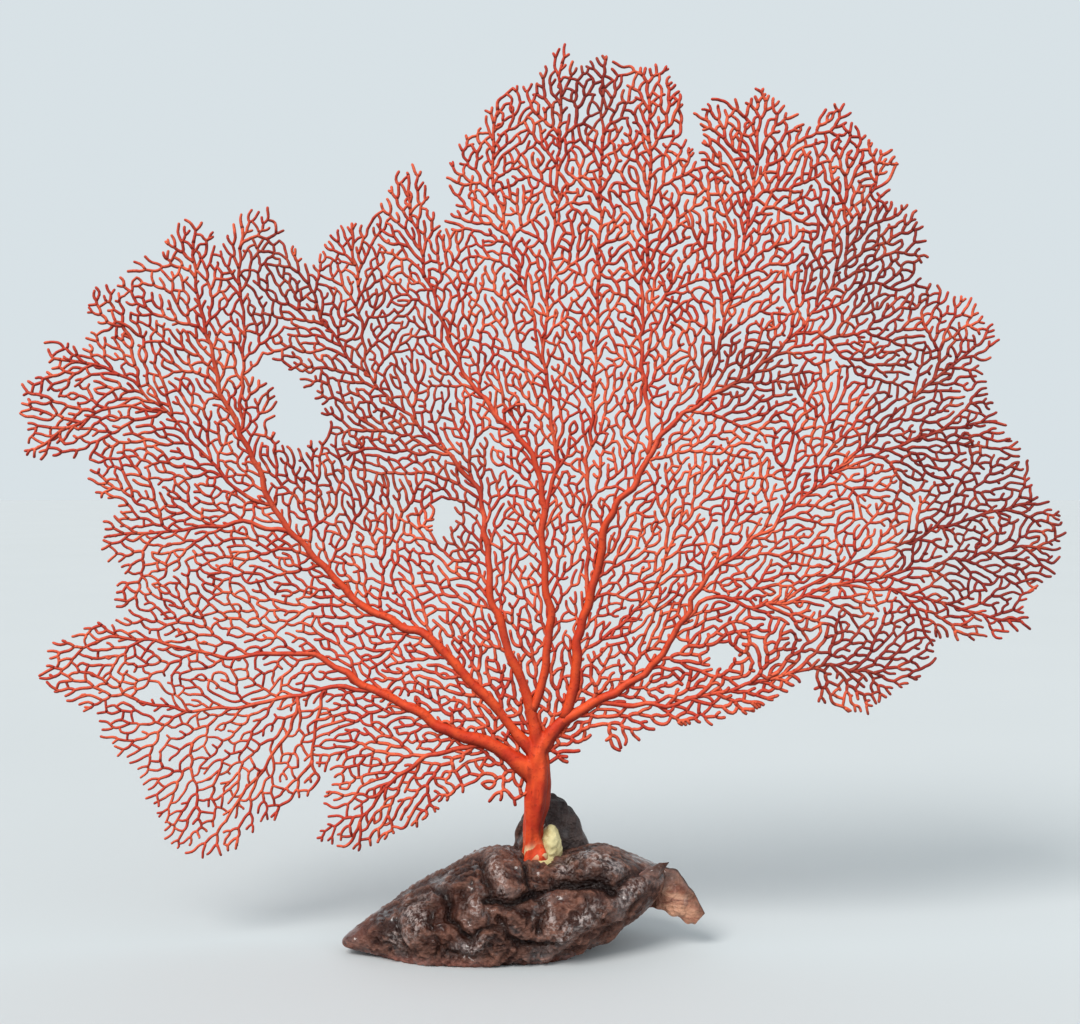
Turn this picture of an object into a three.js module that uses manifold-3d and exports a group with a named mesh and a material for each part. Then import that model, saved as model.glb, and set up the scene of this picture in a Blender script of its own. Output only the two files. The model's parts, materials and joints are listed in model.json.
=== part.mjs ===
// A dried sea fan set in putty on a varnished driftwood base.
// Millimetres, +Z up. The fan faces -Y, and the origin is on the table, under the trunk.
import * as THREE from "three";
import { mergeVertices } from "three/addons/utils/BufferGeometryUtils.js";
import Module from "manifold-3d";

const wasm = await Module();
wasm.setup();

// Driving dimensions
// The fan is drawn as seen from the front on a squared sheet, [column, row], with rows counted downwards.
const SQUARE = 0.42; // side of one square of the sheet
const SHEET_COLUMN = 540; // the column over the origin
const SHEET_ROW = 941; // the row at the height of the table
const SEED_STEP = 3; // spacing of the points along a limb
const CUT_STEPS = 5; // a limb is parted from its parent this many steps past the fork
const GAP = 0.3; // clearance between pieces that touch
const TWIG_RADIUS = 0.66;
const SIDE_BRANCH_RADIUS = 0.9;
const RING_STEPS = 4; // a tube has a ring at every so many points
const LONG_BRANCH = 10; // points in a side branch that is a solid wherever it ends

// How the side branches grow, in millimetres
const GROWTH = {
  space: 11, // spacing of the baits that draw the branches out
  step: 4, // length added in one round
  reach: 40, // the furthest bait that a branch answers to
  kill: 9, // a bait this close to a branch is used up
  tipKill: 4, // and one at a corner of the fan's edge, this close
  ahead: 0.8, // how strongly a branch prefers what lies ahead of it
  keep: 0.5, // how far it keeps its own direction
  drift: 0.4, // how far it turns to run with the nearest limbs
  clear: 0.35, // share of a step that new growth keeps from old
  rounds: 80,
};
const FLOW_SOFTNESS = 6; // distance over which the limbs' directions blend

// The fan's edge, clockwise from the left of the trunk
const OUTLINE = [
  [524, 800], [483, 799], [486, 778], [462, 787], [440, 802], [424, 820], [390, 836], [368, 850],
  [345, 852], [317, 842], [332, 815], [322, 800], [337, 782], [330, 764], [312, 790], [278, 814],
  [240, 838], [231, 851], [199, 853], [174, 843], [168, 816], [153, 797], [139, 762], [110, 734],
  [101, 708], [68, 695], [50, 674], [60, 644], [102, 621], [134, 617], [117, 600], [124, 570],
  [108, 548], [106, 520], [126, 506], [103, 494], [92, 477], [104, 456], [34, 457], [30, 425],
  [27, 388], [62, 366], [44, 346], [64, 338], [88, 358], [92, 332], [112, 338], [94, 316],
  [93, 293], [117, 286], [130, 262], [160, 256], [176, 226], [192, 216], [207, 230], [212, 256],
  [222, 238], [234, 211], [262, 204], [282, 239], [308, 265], [318, 245], [342, 211], [362, 222],
  [382, 196], [394, 165], [415, 160], [428, 196], [440, 234], [454, 198], [445, 172], [460, 140],
  [485, 114], [495, 91], [518, 79], [535, 84], [550, 62], [560, 41], [578, 66], [600, 54],
  [618, 62], [638, 67], [664, 69], [681, 98], [683, 140], [697, 166], [706, 142], [698, 115],
  [714, 97], [742, 105], [762, 90], [795, 108], [798, 124], [820, 117], [836, 97], [856, 120],
  [878, 142], [904, 153], [886, 196], [918, 207], [934, 250], [918, 273], [976, 295], [1002, 330],
  [1004, 352], [986, 366], [1002, 402], [1014, 430], [1036, 460], [1042, 492], [1072, 522],
  [1066, 560], [1052, 582], [1024, 606], [1036, 626], [1002, 641], [958, 637], [938, 632],
  [936, 670], [906, 688], [860, 712], [840, 708], [815, 698], [808, 668], [790, 684], [758, 705],
  [710, 720], [660, 724], [614, 750], [600, 724], [584, 744], [560, 770], [547, 778], [551, 798],
];

// Gaps torn or never filled inside the fan
const GAPS = [
  [[246, 372], [262, 352], [284, 366], [300, 382], [314, 388], [318, 402], [324, 424], [318, 440],
    [300, 450], [280, 446], [266, 432], [274, 408], [270, 386], [256, 380]],
  [[434, 500], [446, 496], [454, 512], [450, 532], [440, 544], [430, 536]],
  [[144, 684], [160, 680], [166, 694], [150, 700]],
  [[704, 650], [722, 640], [736, 648], [728, 666], [708, 668]],
];

// The limbs in order of growth. Each starts on its parent's course.
// thick and thin are its radii at the root and at the tip, and taper says how fast it thins.
const LIMBS = [
  { name: "trunk", thick: 5.6, thin: 4.2, taper: 1,
    course: [[539, 800], [539, 784], [539, 768], [538, 752]] },
  { name: "left_limb", parent: "trunk", thick: 4.2, thin: 0.8, taper: 2,
    course: [[538, 780], [510, 754], [484, 740], [458, 734], [432, 724], [404, 704], [372, 690],
      [350, 678], [322, 660], [282, 653], [236, 660], [186, 650], [140, 636], [100, 640]] },
  { name: "left_middle_limb", parent: "left_limb", thick: 1.3, thin: 0.75, taper: 1,
    course: [[376, 692], [336, 687], [290, 699], [248, 706], [190, 713], [140, 700]] },
  { name: "left_hanging_limb", parent: "left_middle_limb", thick: 1, thin: 0.7, taper: 1,
    course: [[324, 690], [317, 712], [313, 740], [306, 774]] },
  { name: "left_drooping_limb", parent: "left_middle_limb", thick: 1.1, thin: 0.7, taper: 1,
    course: [[296, 697], [291, 728], [276, 752], [250, 784], [226, 822]] },
  { name: "left_low_limb", parent: "left_limb", thick: 1.6, thin: 0.75, taper: 1,
    course: [[488, 742], [452, 750], [420, 760], [394, 776], [374, 800], [352, 836]] },
  { name: "upper_left_limb", parent: "trunk", thick: 2.7, thin: 0.75, taper: 1,
    course: [[538, 758], [512, 728], [494, 704], [470, 681], [450, 655], [428, 637], [398, 626],
      [368, 611], [344, 594], [316, 559], [284, 532], [266, 505], [258, 474], [238, 436], [224, 404],
      [206, 350], [192, 280], [190, 240]] },
  { name: "left_side_limb", parent: "upper_left_limb", thick: 1.4, thin: 0.7, taper: 1,
    course: [[288, 535], [246, 520], [200, 528], [150, 534], [114, 534]] },
  { name: "far_left_limb", parent: "upper_left_limb", thick: 1.1, thin: 0.7, taper: 1,
    course: [[268, 508], [233, 491], [208, 464], [180, 430], [150, 394], [110, 366], [66, 360]] },
  { name: "left_edge_limb", parent: "far_left_limb", thick: 0.9, thin: 0.65, taper: 1,
    course: [[166, 412], [124, 404], [82, 420], [42, 448]] },
  { name: "left_crest_limb", parent: "upper_left_limb", thick: 1.1, thin: 0.7, taper: 1,
    course: [[236, 430], [238, 384], [240, 352], [240, 316], [234, 270], [238, 224]] },
  { name: "inner_left_limb", parent: "trunk", thick: 3, thin: 0.7, taper: 1.8,
    course: [[538, 758], [536, 730], [530, 706], [522, 680], [508, 650], [496, 616], [488, 580], [485, 540],
      [483, 500], [462, 470], [430, 436], [390, 400], [340, 350], [310, 300]] },
  { name: "left_peak_limb", parent: "inner_left_limb", thick: 0.9, thin: 0.65, taper: 1,
    course: [[364, 374], [356, 320], [352, 266], [346, 216]] },
  { name: "centre_limb", parent: "inner_left_limb", thick: 2.4, thin: 0.7, taper: 1.3,
    course: [[531, 712], [541, 690], [546, 660], [551, 628], [550, 600], [542, 556], [545, 510],
      [541, 474], [522, 438], [496, 412], [466, 376], [444, 330], [424, 270], [408, 200], [404, 168]] },
  { name: "centre_top_limb", parent: "centre_limb", thick: 1.2, thin: 0.65, taper: 1,
    course: [[545, 516], [555, 480], [556, 440], [548, 396], [544, 350], [548, 290], [556, 210],
      [560, 120], [562, 60]] },
  { name: "upper_centre_limb", parent: "centre_top_limb", thick: 0.9, thin: 0.65, taper: 1,
    course: [[544, 362], [530, 306], [510, 240], [490, 170], [496, 104]] },
  { name: "right_limb", parent: "trunk", thick: 3.4, thin: 0.75, taper: 3,
    course: [[538, 756], [556, 724], [582, 710], [612, 692], [642, 675], [662, 654], [674, 632],
      [684, 612], [694, 590], [716, 562], [752, 540], [790, 510], [836, 470], [882, 430], [930, 386],
      [980, 346]] },
  { name: "right_shoulder_limb", parent: "right_limb", thick: 0.9, thin: 0.65, taper: 1,
    course: [[830, 475], [884, 452], [940, 430], [1004, 420]] },
  { name: "inner_right_limb", parent: "right_limb", thick: 2.9, thin: 0.7, taper: 1.8,
    course: [[564, 718], [573, 692], [576, 664], [578, 640], [585, 612], [596, 576], [602, 538],
      [612, 508], [634, 486], [648, 456], [668, 426], [696, 404], [740, 380], [786, 346], [826, 300],
      [856, 240], [880, 170]] },
  { name: "inner_right_spur", parent: "inner_right_limb", thick: 1.1, thin: 0.7, taper: 1,
    course: [[577, 660], [600, 638], [628, 618], [654, 586], [672, 540]] },
  { name: "top_centre_limb", parent: "inner_right_limb", thick: 1.2, thin: 0.65, taper: 1,
    course: [[588, 602], [588, 556], [586, 510], [590, 440], [596, 360], [598, 280], [600, 190],
      [604, 90]] },
  { name: "top_right_limb", parent: "inner_right_limb", thick: 1.3, thin: 0.65, taper: 1,
    course: [[648, 456], [648, 412], [641, 370], [640, 320], [646, 260], [650, 190], [650, 100]] },
  { name: "right_crest_limb", parent: "inner_right_limb", thick: 1.1, thin: 0.65, taper: 1,
    course: [[696, 404], [716, 350], [732, 290], [748, 220], [760, 130]] },
  { name: "outer_right_limb", parent: "right_limb", thick: 1.2, thin: 0.7, taper: 1,
    course: [[680, 620], [700, 598], [722, 595], [746, 605], [776, 604], [812, 591], [850, 582],
      [900, 574], [950, 563], [1000, 552], [1050, 548]] },
  { name: "right_edge_limb", parent: "outer_right_limb", thick: 0.9, thin: 0.65, taper: 1,
    course: [[836, 585], [890, 590], [946, 604], [996, 620], [1030, 624]] },
  { name: "far_right_limb", parent: "outer_right_limb", thick: 1, thin: 0.65, taper: 1,
    course: [[770, 605], [820, 578], [870, 556], [924, 536], [980, 516], [1044, 504]] },
  { name: "right_low_limb", parent: "right_limb", thick: 1.4, thin: 0.7, taper: 1,
    course: [[596, 702], [634, 706], [668, 704], [704, 694], [746, 683], [782, 672], [812, 664],
      [846, 668], [884, 676]] },
];

// The fan's sheet waves towards the viewer and away, the more the further it is from the fork.
const FORK = [0, 84]; // where the trunk divides, [x, z]
const FLAT_TO = 25; // the sheet is flat this close to the fork
const WAVED_FROM = 120; // and has its whole wave from here on
const WAVE = { height: 8, crest: -75, length: 45 };
const LEAN = { slope: 0.03, level: 100 };
const RIPPLE = { height: 1.2, across: 17, up: 23 };

// The trunk below the fan, from its foot in the putty: [column, row, radius]
const STEM = [
  [537, 862, 4.7], [535, 850, 4.3], [533, 832, 4], [534, 816, 4.7], [537, 800, 5.6],
];

// The driftwood base: a log that tapers to the left and lifts off the table on the right
const BASE = {
  middle: [-14, -1, 14], // middle of the log
  half: [67, 34, 21], // half its length, depth and height
  rise: 6, // how far its axis rises to the right end
  frontSwing: -14, // how far its left tip swings to the front
  pinch: 0.3, // how much the left end is drawn in
};
// Lumps and creases on the front of the base, as seen from the front, in millimetres:
// the middle [x, z], half lengths along and across, the turn in degrees and the height
const FOLDS = [
  { at: [-13, 26], size: [13, 8], turn: 75, height: 5 }, // tongue folded over the middle
  { at: [-3, 17], size: [26, 3.5], turn: 12, height: -5 }, // crease under the tongue
  { at: [-34, 13], size: [12, 5], turn: 70, height: -5 }, // hollow left of the tongue
  { at: [16, 10], size: [17, 8], turn: 20, height: 4 }, // swelling on the right
  { at: [-50, 12], size: [10, 8], turn: 60, height: 3.5 }, // swelling on the left
  { at: [-8, 4], size: [10, 5], turn: 0, height: -2.5 }, // dent low in the middle
  { at: [24, 27], size: [14, 6], turn: -10, height: 3 }, // hump on the right shoulder
  { at: [-30, 29], size: [14, 5], turn: 25, height: 2.5 }, // ridge on the left shoulder
];
// The stub of a root behind the trunk, and the thin curled leaf at the right end
const KNOB = { middle: [3, 22, 37], half: [14, 10.5, 19] };
const LEAF = { root: [38, 6, 25], tip: [68, -9, 15], halfWidth: 10, halfThickness: 1.4, curl: 5 };
const PUTTY = { middle: [2.2, 1, 35.5], half: [9.8, 9, 9] };

// The coral's and the base's finishes
const CORAL = { color: 0xd2452a, roughness: 0.6, metalness: 0 };
const WOOD = { color: 0x3a2420, roughness: 0.3, metalness: 0 };
const CEMENT = { color: 0xcdbb8c, roughness: 0.7, metalness: 0 };

const onSheet = ([column, row]) => [(column - SHEET_COLUMN) * SQUARE, (SHEET_ROW - row) * SQUARE];

// How far the fan's sheet stands behind the trunk's plane at a point seen from the front
function depthAt(x, z) {
  const out = Math.hypot(x - FORK[0], z - FORK[1]);
  const share = THREE.MathUtils.smoothstep(out, FLAT_TO, WAVED_FROM);
  const wave = WAVE.height * Math.cos((x - WAVE.crest) / WAVE.length);
  const ripple = RIPPLE.height * Math.sin(x / RIPPLE.across + z / RIPPLE.up);
  return share * (wave + LEAN.slope * (z - LEAN.level) + ripple);
}

// Rounds a course by cutting its corners twice, then spaces its points evenly
function smoothCourse(course, spacing) {
  let line = course.map(onSheet);
  for (let round = 0; round < 2; round++) {
    const cut = [line[0]];
    for (let i = 0; i + 1 < line.length; i++) {
      const [a, b] = [line[i], line[i + 1]];
      cut.push([0.75 * a[0] + 0.25 * b[0], 0.75 * a[1] + 0.25 * b[1]]);
      cut.push([0.25 * a[0] + 0.75 * b[0], 0.25 * a[1] + 0.75 * b[1]]);
    }
    cut.push(line[line.length - 1]);
    line = cut;
  }
  const along = [0];
  for (let i = 1; i < line.length; i++) {
    along.push(along[i - 1] + Math.hypot(line[i][0] - line[i - 1][0], line[i][1] - line[i - 1][1]));
  }
  const length = along[along.length - 1];
  const count = Math.round(length / spacing);
  let span = 1;
  return Array.from({ length: count + 1 }, (_, k) => {
    const want = (length * k) / count;
    while (span < line.length - 1 && along[span] < want) span++;
    const share = (want - along[span - 1]) / (along[span] - along[span - 1]);
    const [a, b] = [line[span - 1], line[span]];
    return [a[0] + share * (b[0] - a[0]), a[1] + share * (b[1] - a[1])];
  });
}

function unit(x, z) {
  const length = Math.hypot(x, z);
  return [x / length, z / length];
}

// The limbs as one list of linked points. A limb's first steps belong to its parent's piece.
function seedLimbs() {
  const points = [];
  for (const limb of LIMBS) {
    const line = smoothCourse(limb.course, SEED_STEP);
    line.forEach(([x, z], i) => {
      const before = line[Math.max(i - 1, 0)];
      const after = line[Math.min(i + 1, line.length - 1)];
      points.push({
        x, z,
        way: unit(after[0] - before[0], after[1] - before[1]),
        from: i > 0 ? points.length - 1 : -1,
        owner: limb.parent && i < CUT_STEPS ? limb.parent : limb.name,
        limb,
        barren: Boolean(limb.parent) && Math.abs(i - CUT_STEPS) <= 1, // nothing sprouts at the parting
        radius: limb.thin + (limb.thick - limb.thin) * (1 - i / (line.length - 1)) ** limb.taper,
      });
    });
  }
  return points;
}

function isInside(x, z, loop) {
  let inside = false;
  loop.forEach(([ax, az], i) => {
    const [bx, bz] = loop[(i + 1) % loop.length];
    if (az > z !== bz > z && x < ax + ((z - az) * (bx - ax)) / (bz - az)) inside = !inside;
  });
  return inside;
}

// The corners of the fan's edge that stick out
function edgeTips() {
  const outline = OUTLINE.map(onSheet);
  return outline.filter((_, i) => {
    const [before, after] = [outline.at(i - 1), outline[(i + 1) % outline.length]];
    return isInside((before[0] + after[0]) / 2, (before[1] + after[1]) / 2, outline);
  });
}

// Baits at the tips of the edge, and spread evenly inside by the golden-ratio sequence for two dimensions
function spreadBaits() {
  const outline = OUTLINE.map(onSheet);
  const gaps = GAPS.map((gap) => gap.map(onSheet));
  const [xs, zs] = [outline.map((p) => p[0]), outline.map((p) => p[1])];
  const [left, low] = [Math.min(...xs), Math.min(...zs)];
  const [width, height] = [Math.max(...xs) - left, Math.max(...zs) - low];
  const plastic = 1.324717957244746;
  const bait = (x, z, kill) => ({ x, z, kill, cost: Infinity, distance: Infinity, nearest: -1 });
  const baits = edgeTips().map(([x, z]) => bait(x, z, GROWTH.tipKill));
  for (let k = 1; k <= Math.floor((width * height) / GROWTH.space ** 2); k++) {
    const x = left + width * ((0.5 + k / plastic) % 1);
    const z = low + height * ((0.5 + k / plastic ** 2) % 1);
    if (isInside(x, z, outline) && !gaps.some((gap) => isInside(x, z, gap))) {
      baits.push(bait(x, z, GROWTH.kill));
    }
  }
  return baits;
}

// The direction that the limbs around a point run in
function flowAt(x, z, limbPoints) {
  let [fx, fz] = [0, 0];
  for (const p of limbPoints) {
    const weight = ((x - p.x) ** 2 + (z - p.z) ** 2 + FLOW_SOFTNESS ** 2) ** -1.5;
    fx += weight * p.way[0];
    fz += weight * p.way[1];
  }
  return unit(fx, fz);
}

// Grows side branches from the limbs. Each bait draws the point that reaches it most easily, which is
// measured on an ellipse that runs ahead of the point, so branches leave their limb at a slant.
function growBranches(points) {
  const limbPoints = points.slice();
  let baits = spreadBaits();
  let first = 0;
  for (let round = 0; round <= GROWTH.rounds; round++) {
    for (const bait of baits) {
      for (let i = first; i < points.length; i++) {
        const [dx, dz] = [bait.x - points[i].x, bait.z - points[i].z];
        const distance = Math.hypot(dx, dz);
        const cost = distance - GROWTH.ahead * (dx * points[i].way[0] + dz * points[i].way[1]);
        bait.distance = Math.min(bait.distance, distance);
        if (cost < bait.cost && !points[i].barren) Object.assign(bait, { cost, nearest: i });
      }
    }
    baits = baits.filter((bait) => bait.distance > bait.kill);
    first = points.length;
    const pulls = new Map();
    for (const bait of baits.filter((b) => b.cost < GROWTH.reach)) {
      const from = points[bait.nearest];
      const [dx, dz] = unit(bait.x - from.x, bait.z - from.z);
      const [px, pz] = pulls.get(bait.nearest) ?? [0, 0];
      pulls.set(bait.nearest, [px + dx, pz + dz]);
    }
    const stuck = new Set();
    const isCrowded = (x, z) => points
      .slice(0, first)
      .some((p) => Math.hypot(x - p.x, z - p.z) < GROWTH.clear * GROWTH.step);
    for (const i of [...pulls.keys()].sort((a, b) => a - b)) {
      const from = points[i];
      const pull = unit(...pulls.get(i));
      const flow = flowAt(from.x, from.z, limbPoints);
      const eased = unit(
        pull[0] + GROWTH.keep * from.way[0] + GROWTH.drift * flow[0],
        pull[1] + GROWTH.keep * from.way[1] + GROWTH.drift * flow[1],
      );
      const way = [eased, pull].find(([dx, dz]) =>
        !isCrowded(from.x + GROWTH.step * dx, from.z + GROWTH.step * dz));
      if (!way) stuck.add(i);
      else points.push({
        x: from.x + GROWTH.step * way[0],
        z: from.z + GROWTH.step * way[1],
        way, from: i, owner: from.owner, barren: false,
      });
    }
    baits = baits.filter((bait) => !(stuck.has(bait.nearest) && bait.cost < GROWTH.reach));
    if (points.length === first && stuck.size === 0) break;
  }
  return points;
}

// Solids

function toSolid(geometry) {
  const bare = geometry.index ? geometry : geometry.clone();
  bare.deleteAttribute("normal");
  bare.deleteAttribute("uv");
  const merged = mergeVertices(bare, 1e-4);
  const corners = merged.index.array;
  const triangles = [];
  for (let i = 0; i < corners.length; i += 3) {
    const [a, b, c] = [corners[i], corners[i + 1], corners[i + 2]];
    if (a !== b && b !== c && c !== a) triangles.push(a, b, c);
  }
  return new wasm.Manifold(new wasm.Mesh({
    numProp: 3,
    vertProperties: new Float32Array(merged.attributes.position.array),
    triVerts: new Uint32Array(triangles),
  }));
}

function toMesh(name, solid, finish) {
  const { vertProperties, triVerts } = solid.getMesh();
  const geometry = new THREE.BufferGeometry();
  geometry.setAttribute("position", new THREE.BufferAttribute(vertProperties, 3));
  geometry.setIndex(new THREE.BufferAttribute(triVerts, 1));
  geometry.computeVertexNormals();
  const mesh = new THREE.Mesh(geometry, new THREE.MeshStandardMaterial(finish));
  mesh.name = name;
  return mesh;
}

// Moves every corner of a geometry by a function from and to THREE.Vector3
function shape(geometry, move) {
  const position = geometry.attributes.position;
  const corner = new THREE.Vector3();
  for (let i = 0; i < position.count; i++) {
    const moved = move(corner.fromBufferAttribute(position, i));
    position.setXYZ(i, moved.x, moved.y, moved.z);
  }
  return geometry;
}

// A tapering tube: a cylinder of one ring to a stop, each ring carried to its place and turned along its way
function tube(stops, sides) {
  const last = stops.length - 1;
  const rings = stops.map(({ place, along, radius }) => {
    const across = new THREE.Vector3(0, -1, 0).cross(along).normalize();
    return { place, radius, across, out: new THREE.Vector3().crossVectors(across, along) };
  });
  return toSolid(shape(new THREE.CylinderGeometry(1, 1, last, sides, last), (corner) => {
    const { place, radius, across, out } = rings[Math.round(corner.y + last / 2)];
    return new THREE.Vector3()
      .copy(place)
      .addScaledVector(across, corner.x * radius)
      .addScaledVector(out, corner.z * radius);
  }));
}

// A point of the fan as a stop for a tube, stood on the waved sheet
function stop({ x, z, way }, radius) {
  const [dx, dz] = way;
  const rise = depthAt(x + dx, z + dz) - depthAt(x, z);
  return {
    place: new THREE.Vector3(x, depthAt(x, z), z),
    along: new THREE.Vector3(dx, rise, dz).normalize(),
    radius,
  };
}

// Every few points of a run, with both its ends
const thinned = (run, every) => run.filter((_, i) => i % every === 0 || i === run.length - 1);

// The stretch of a limb that belongs to one piece, as a tube that starts a little way in
function limbTube(run, sides, start = 0) {
  const stops = thinned(run, RING_STEPS).map((p) => stop(p, p.radius));
  stops[0].place.addScaledVector(stops[0].along, start);
  return tube(stops, sides);
}

// Side branches as runs: each goes on from its first child, and its other children start new runs.
// Those that end at a tip of the edge are kept, those that are long, and those that carry a kept one.
function branchRuns(points, firstGrown) {
  const children = points.map(() => []);
  for (let i = firstGrown; i < points.length; i++) children[points[i].from].push(i);
  const tips = edgeTips();
  const carried = new Set();
  const runs = [];
  for (let i = points.length - 1; i >= 0; i--) {
    const heads = i < firstGrown ? children[i] : children[i].slice(1);
    for (const head of heads) {
      const run = [i];
      for (let at = head; at !== undefined; at = children[at][0]) run.push(at);
      const end = points[run.at(-1)];
      const atEdge = tips.some(([x, z]) => Math.hypot(end.x - x, end.z - z) < GROWTH.step);
      const carries = run.slice(1).some((at) => carried.has(at));
      if (!atEdge && !carries && run.length < LONG_BRANCH) continue;
      carried.add(i);
      runs.push({ owner: points[head].owner, run: run.map((at) => points[at]) });
    }
  }
  return runs;
}

// Gathers each piece's tubes: its own limb, the stubs of the limbs that leave it, and its side branches
function fanPieces() {
  const seeds = seedLimbs();
  const firstGrown = seeds.length;
  const points = growBranches(seeds);
  const tubes = new Map(LIMBS.map((limb) => [limb.name, []]));
  for (const limb of LIMBS) {
    const line = points.slice(0, firstGrown).filter((p) => p.limb === limb);
    if (!limb.parent) continue;
    const sides = limb.thick > 2 ? 5 : 4;
    tubes.get(limb.parent).push(limbTube(line.slice(0, CUT_STEPS + 1), sides));
    tubes.get(limb.name).push(limbTube(line.slice(CUT_STEPS), sides, GAP));
  }
  for (const { owner, run } of branchRuns(points, firstGrown)) {
    const kept = thinned(run, RING_STEPS);
    const stops = kept.map((p, i) =>
      stop(p, THREE.MathUtils.lerp(SIDE_BRANCH_RADIUS, TWIG_RADIUS, i / (kept.length - 1))));
    stops[0].place.addScaledVector(stops[0].along, -SIDE_BRANCH_RADIUS);
    tubes.get(owner).push(tube(stops, 3));
  }
  return tubes;
}

// The trunk's own tube, from its foot to the fork, with its radii grown by a margin
function stemTube(margin, sides) {
  const trunk = LIMBS[0];
  const upper = trunk.course.slice(1).map((square, i) =>
    [...square, THREE.MathUtils.lerp(trunk.thick, trunk.thin, (i + 1) / (trunk.course.length - 1))]);
  const stops = [...STEM, ...upper].map(([column, row, radius]) => {
    const [x, z] = onSheet([column, row]);
    return { place: new THREE.Vector3(x, 0, z), along: new THREE.Vector3(0, 0, 1), radius: radius + margin };
  });
  stops[0].place.z -= margin;
  return tube(stops, sides);
}

const ellipsoid = (middle, half, around, along) =>
  new THREE.SphereGeometry(1, around, along).scale(...half).translate(...middle);

// Height of the folds on the front of the base, seen from the front
function foldAt(x, z) {
  return FOLDS.reduce((sum, { at, size, turn, height }) => {
    const angle = THREE.MathUtils.degToRad(turn);
    const [dx, dz] = [x - at[0], z - at[1]];
    const along = (dx * Math.cos(angle) + dz * Math.sin(angle)) / size[0];
    const across = (dz * Math.cos(angle) - dx * Math.sin(angle)) / size[1];
    return sum + height * Math.exp(-along * along - across * across);
  }, 0);
}

// The log of the base: a ball drawn out along X, pinched to the left, with its folds pushed out in front
function baseLog() {
  const ball = new THREE.SphereGeometry(1, 16, 14).rotateZ(Math.PI / 2);
  return toSolid(shape(ball, ({ x, y, z }) => {
    const leftward = THREE.MathUtils.clamp(-x, 0, 1);
    const draw = 1 - BASE.pinch * leftward ** 2;
    const px = BASE.middle[0] + BASE.half[0] * x;
    const py = BASE.middle[1] + BASE.half[1] * y * draw + BASE.frontSwing * leftward ** 2;
    const pz = BASE.middle[2] + BASE.half[2] * z * draw + BASE.rise * x;
    const front = THREE.MathUtils.smoothstep(-y, -0.2, 0.35);
    const fold = front * foldAt(px, pz);
    return new THREE.Vector3(px, py + fold * y, pz + fold * z);
  }));
}

// The curled leaf: a flat pointed blade from its root to its tip, bowed across its width
function baseLeaf() {
  const root = new THREE.Vector3(...LEAF.root);
  const run = new THREE.Vector3(...LEAF.tip).sub(root);
  const along = run.clone().normalize();
  const face = new THREE.Vector3(0, -1, 0).cross(along).cross(along).negate().normalize();
  const across = new THREE.Vector3().crossVectors(along, face);
  return toSolid(shape(new THREE.SphereGeometry(1, 8, 8), ({ x, y, z }) => {
    const bow = LEAF.curl * (x * x - 0.5);
    return root.clone()
      .addScaledVector(along, (run.length() * (1 + y)) / 2)
      .addScaledVector(across, LEAF.halfWidth * x)
      .addScaledVector(face, LEAF.halfThickness * z + bow);
  }));
}

function baseSolid() {
  const knob = toSolid(ellipsoid(KNOB.middle, KNOB.half, 10, 8));
  const [length, depth] = [4 * BASE.half[0], 4 * BASE.half[1]];
  const table = toSolid(new THREE.BoxGeometry(length, depth, length).translate(0, 0, -length / 2));
  const pocket = toSolid(ellipsoid(PUTTY.middle, PUTTY.half.map((h) => h + GAP), 10, 6));
  return baseLog().add(knob).add(baseLeaf()).subtract(table).subtract(pocket);
}

function puttySolid() {
  return toSolid(ellipsoid(PUTTY.middle, PUTTY.half, 10, 6)).subtract(stemTube(GAP, 8));
}

const seaFan = new THREE.Group();
seaFan.name = "sea_fan";
for (const [name, tubes] of fanPieces()) {
  const solids = name === "trunk" ? [stemTube(0, 8), ...tubes] : tubes;
  seaFan.add(toMesh(name, wasm.Manifold.union(solids), CORAL));
}
seaFan.add(toMesh("driftwood_base", baseSolid(), WOOD));
seaFan.add(toMesh("putty", puttySolid(), CEMENT));

export default seaFan;
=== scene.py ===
import json

import bpy
import numpy as np
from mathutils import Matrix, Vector

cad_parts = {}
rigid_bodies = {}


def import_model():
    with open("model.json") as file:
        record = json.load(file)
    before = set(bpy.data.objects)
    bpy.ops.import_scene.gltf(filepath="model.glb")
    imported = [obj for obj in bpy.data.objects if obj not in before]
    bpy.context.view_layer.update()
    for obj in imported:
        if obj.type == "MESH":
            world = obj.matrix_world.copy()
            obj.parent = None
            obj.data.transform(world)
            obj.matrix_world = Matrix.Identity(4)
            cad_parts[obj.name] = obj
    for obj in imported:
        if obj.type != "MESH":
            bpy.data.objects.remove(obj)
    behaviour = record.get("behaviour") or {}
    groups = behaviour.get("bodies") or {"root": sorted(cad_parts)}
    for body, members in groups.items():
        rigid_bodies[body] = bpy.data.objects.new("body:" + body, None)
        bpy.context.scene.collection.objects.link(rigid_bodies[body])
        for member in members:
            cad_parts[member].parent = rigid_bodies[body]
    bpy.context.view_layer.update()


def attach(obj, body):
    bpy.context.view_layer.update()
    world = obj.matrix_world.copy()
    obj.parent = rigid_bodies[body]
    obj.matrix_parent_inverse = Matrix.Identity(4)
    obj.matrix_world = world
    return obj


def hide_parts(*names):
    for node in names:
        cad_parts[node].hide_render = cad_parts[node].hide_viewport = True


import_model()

MM = 0.001
SQUARE = 0.42
SHEET_COLUMN = 540
SHEET_ROW = 941
SEED_STEP = 3
CUT_STEPS = 5

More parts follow.
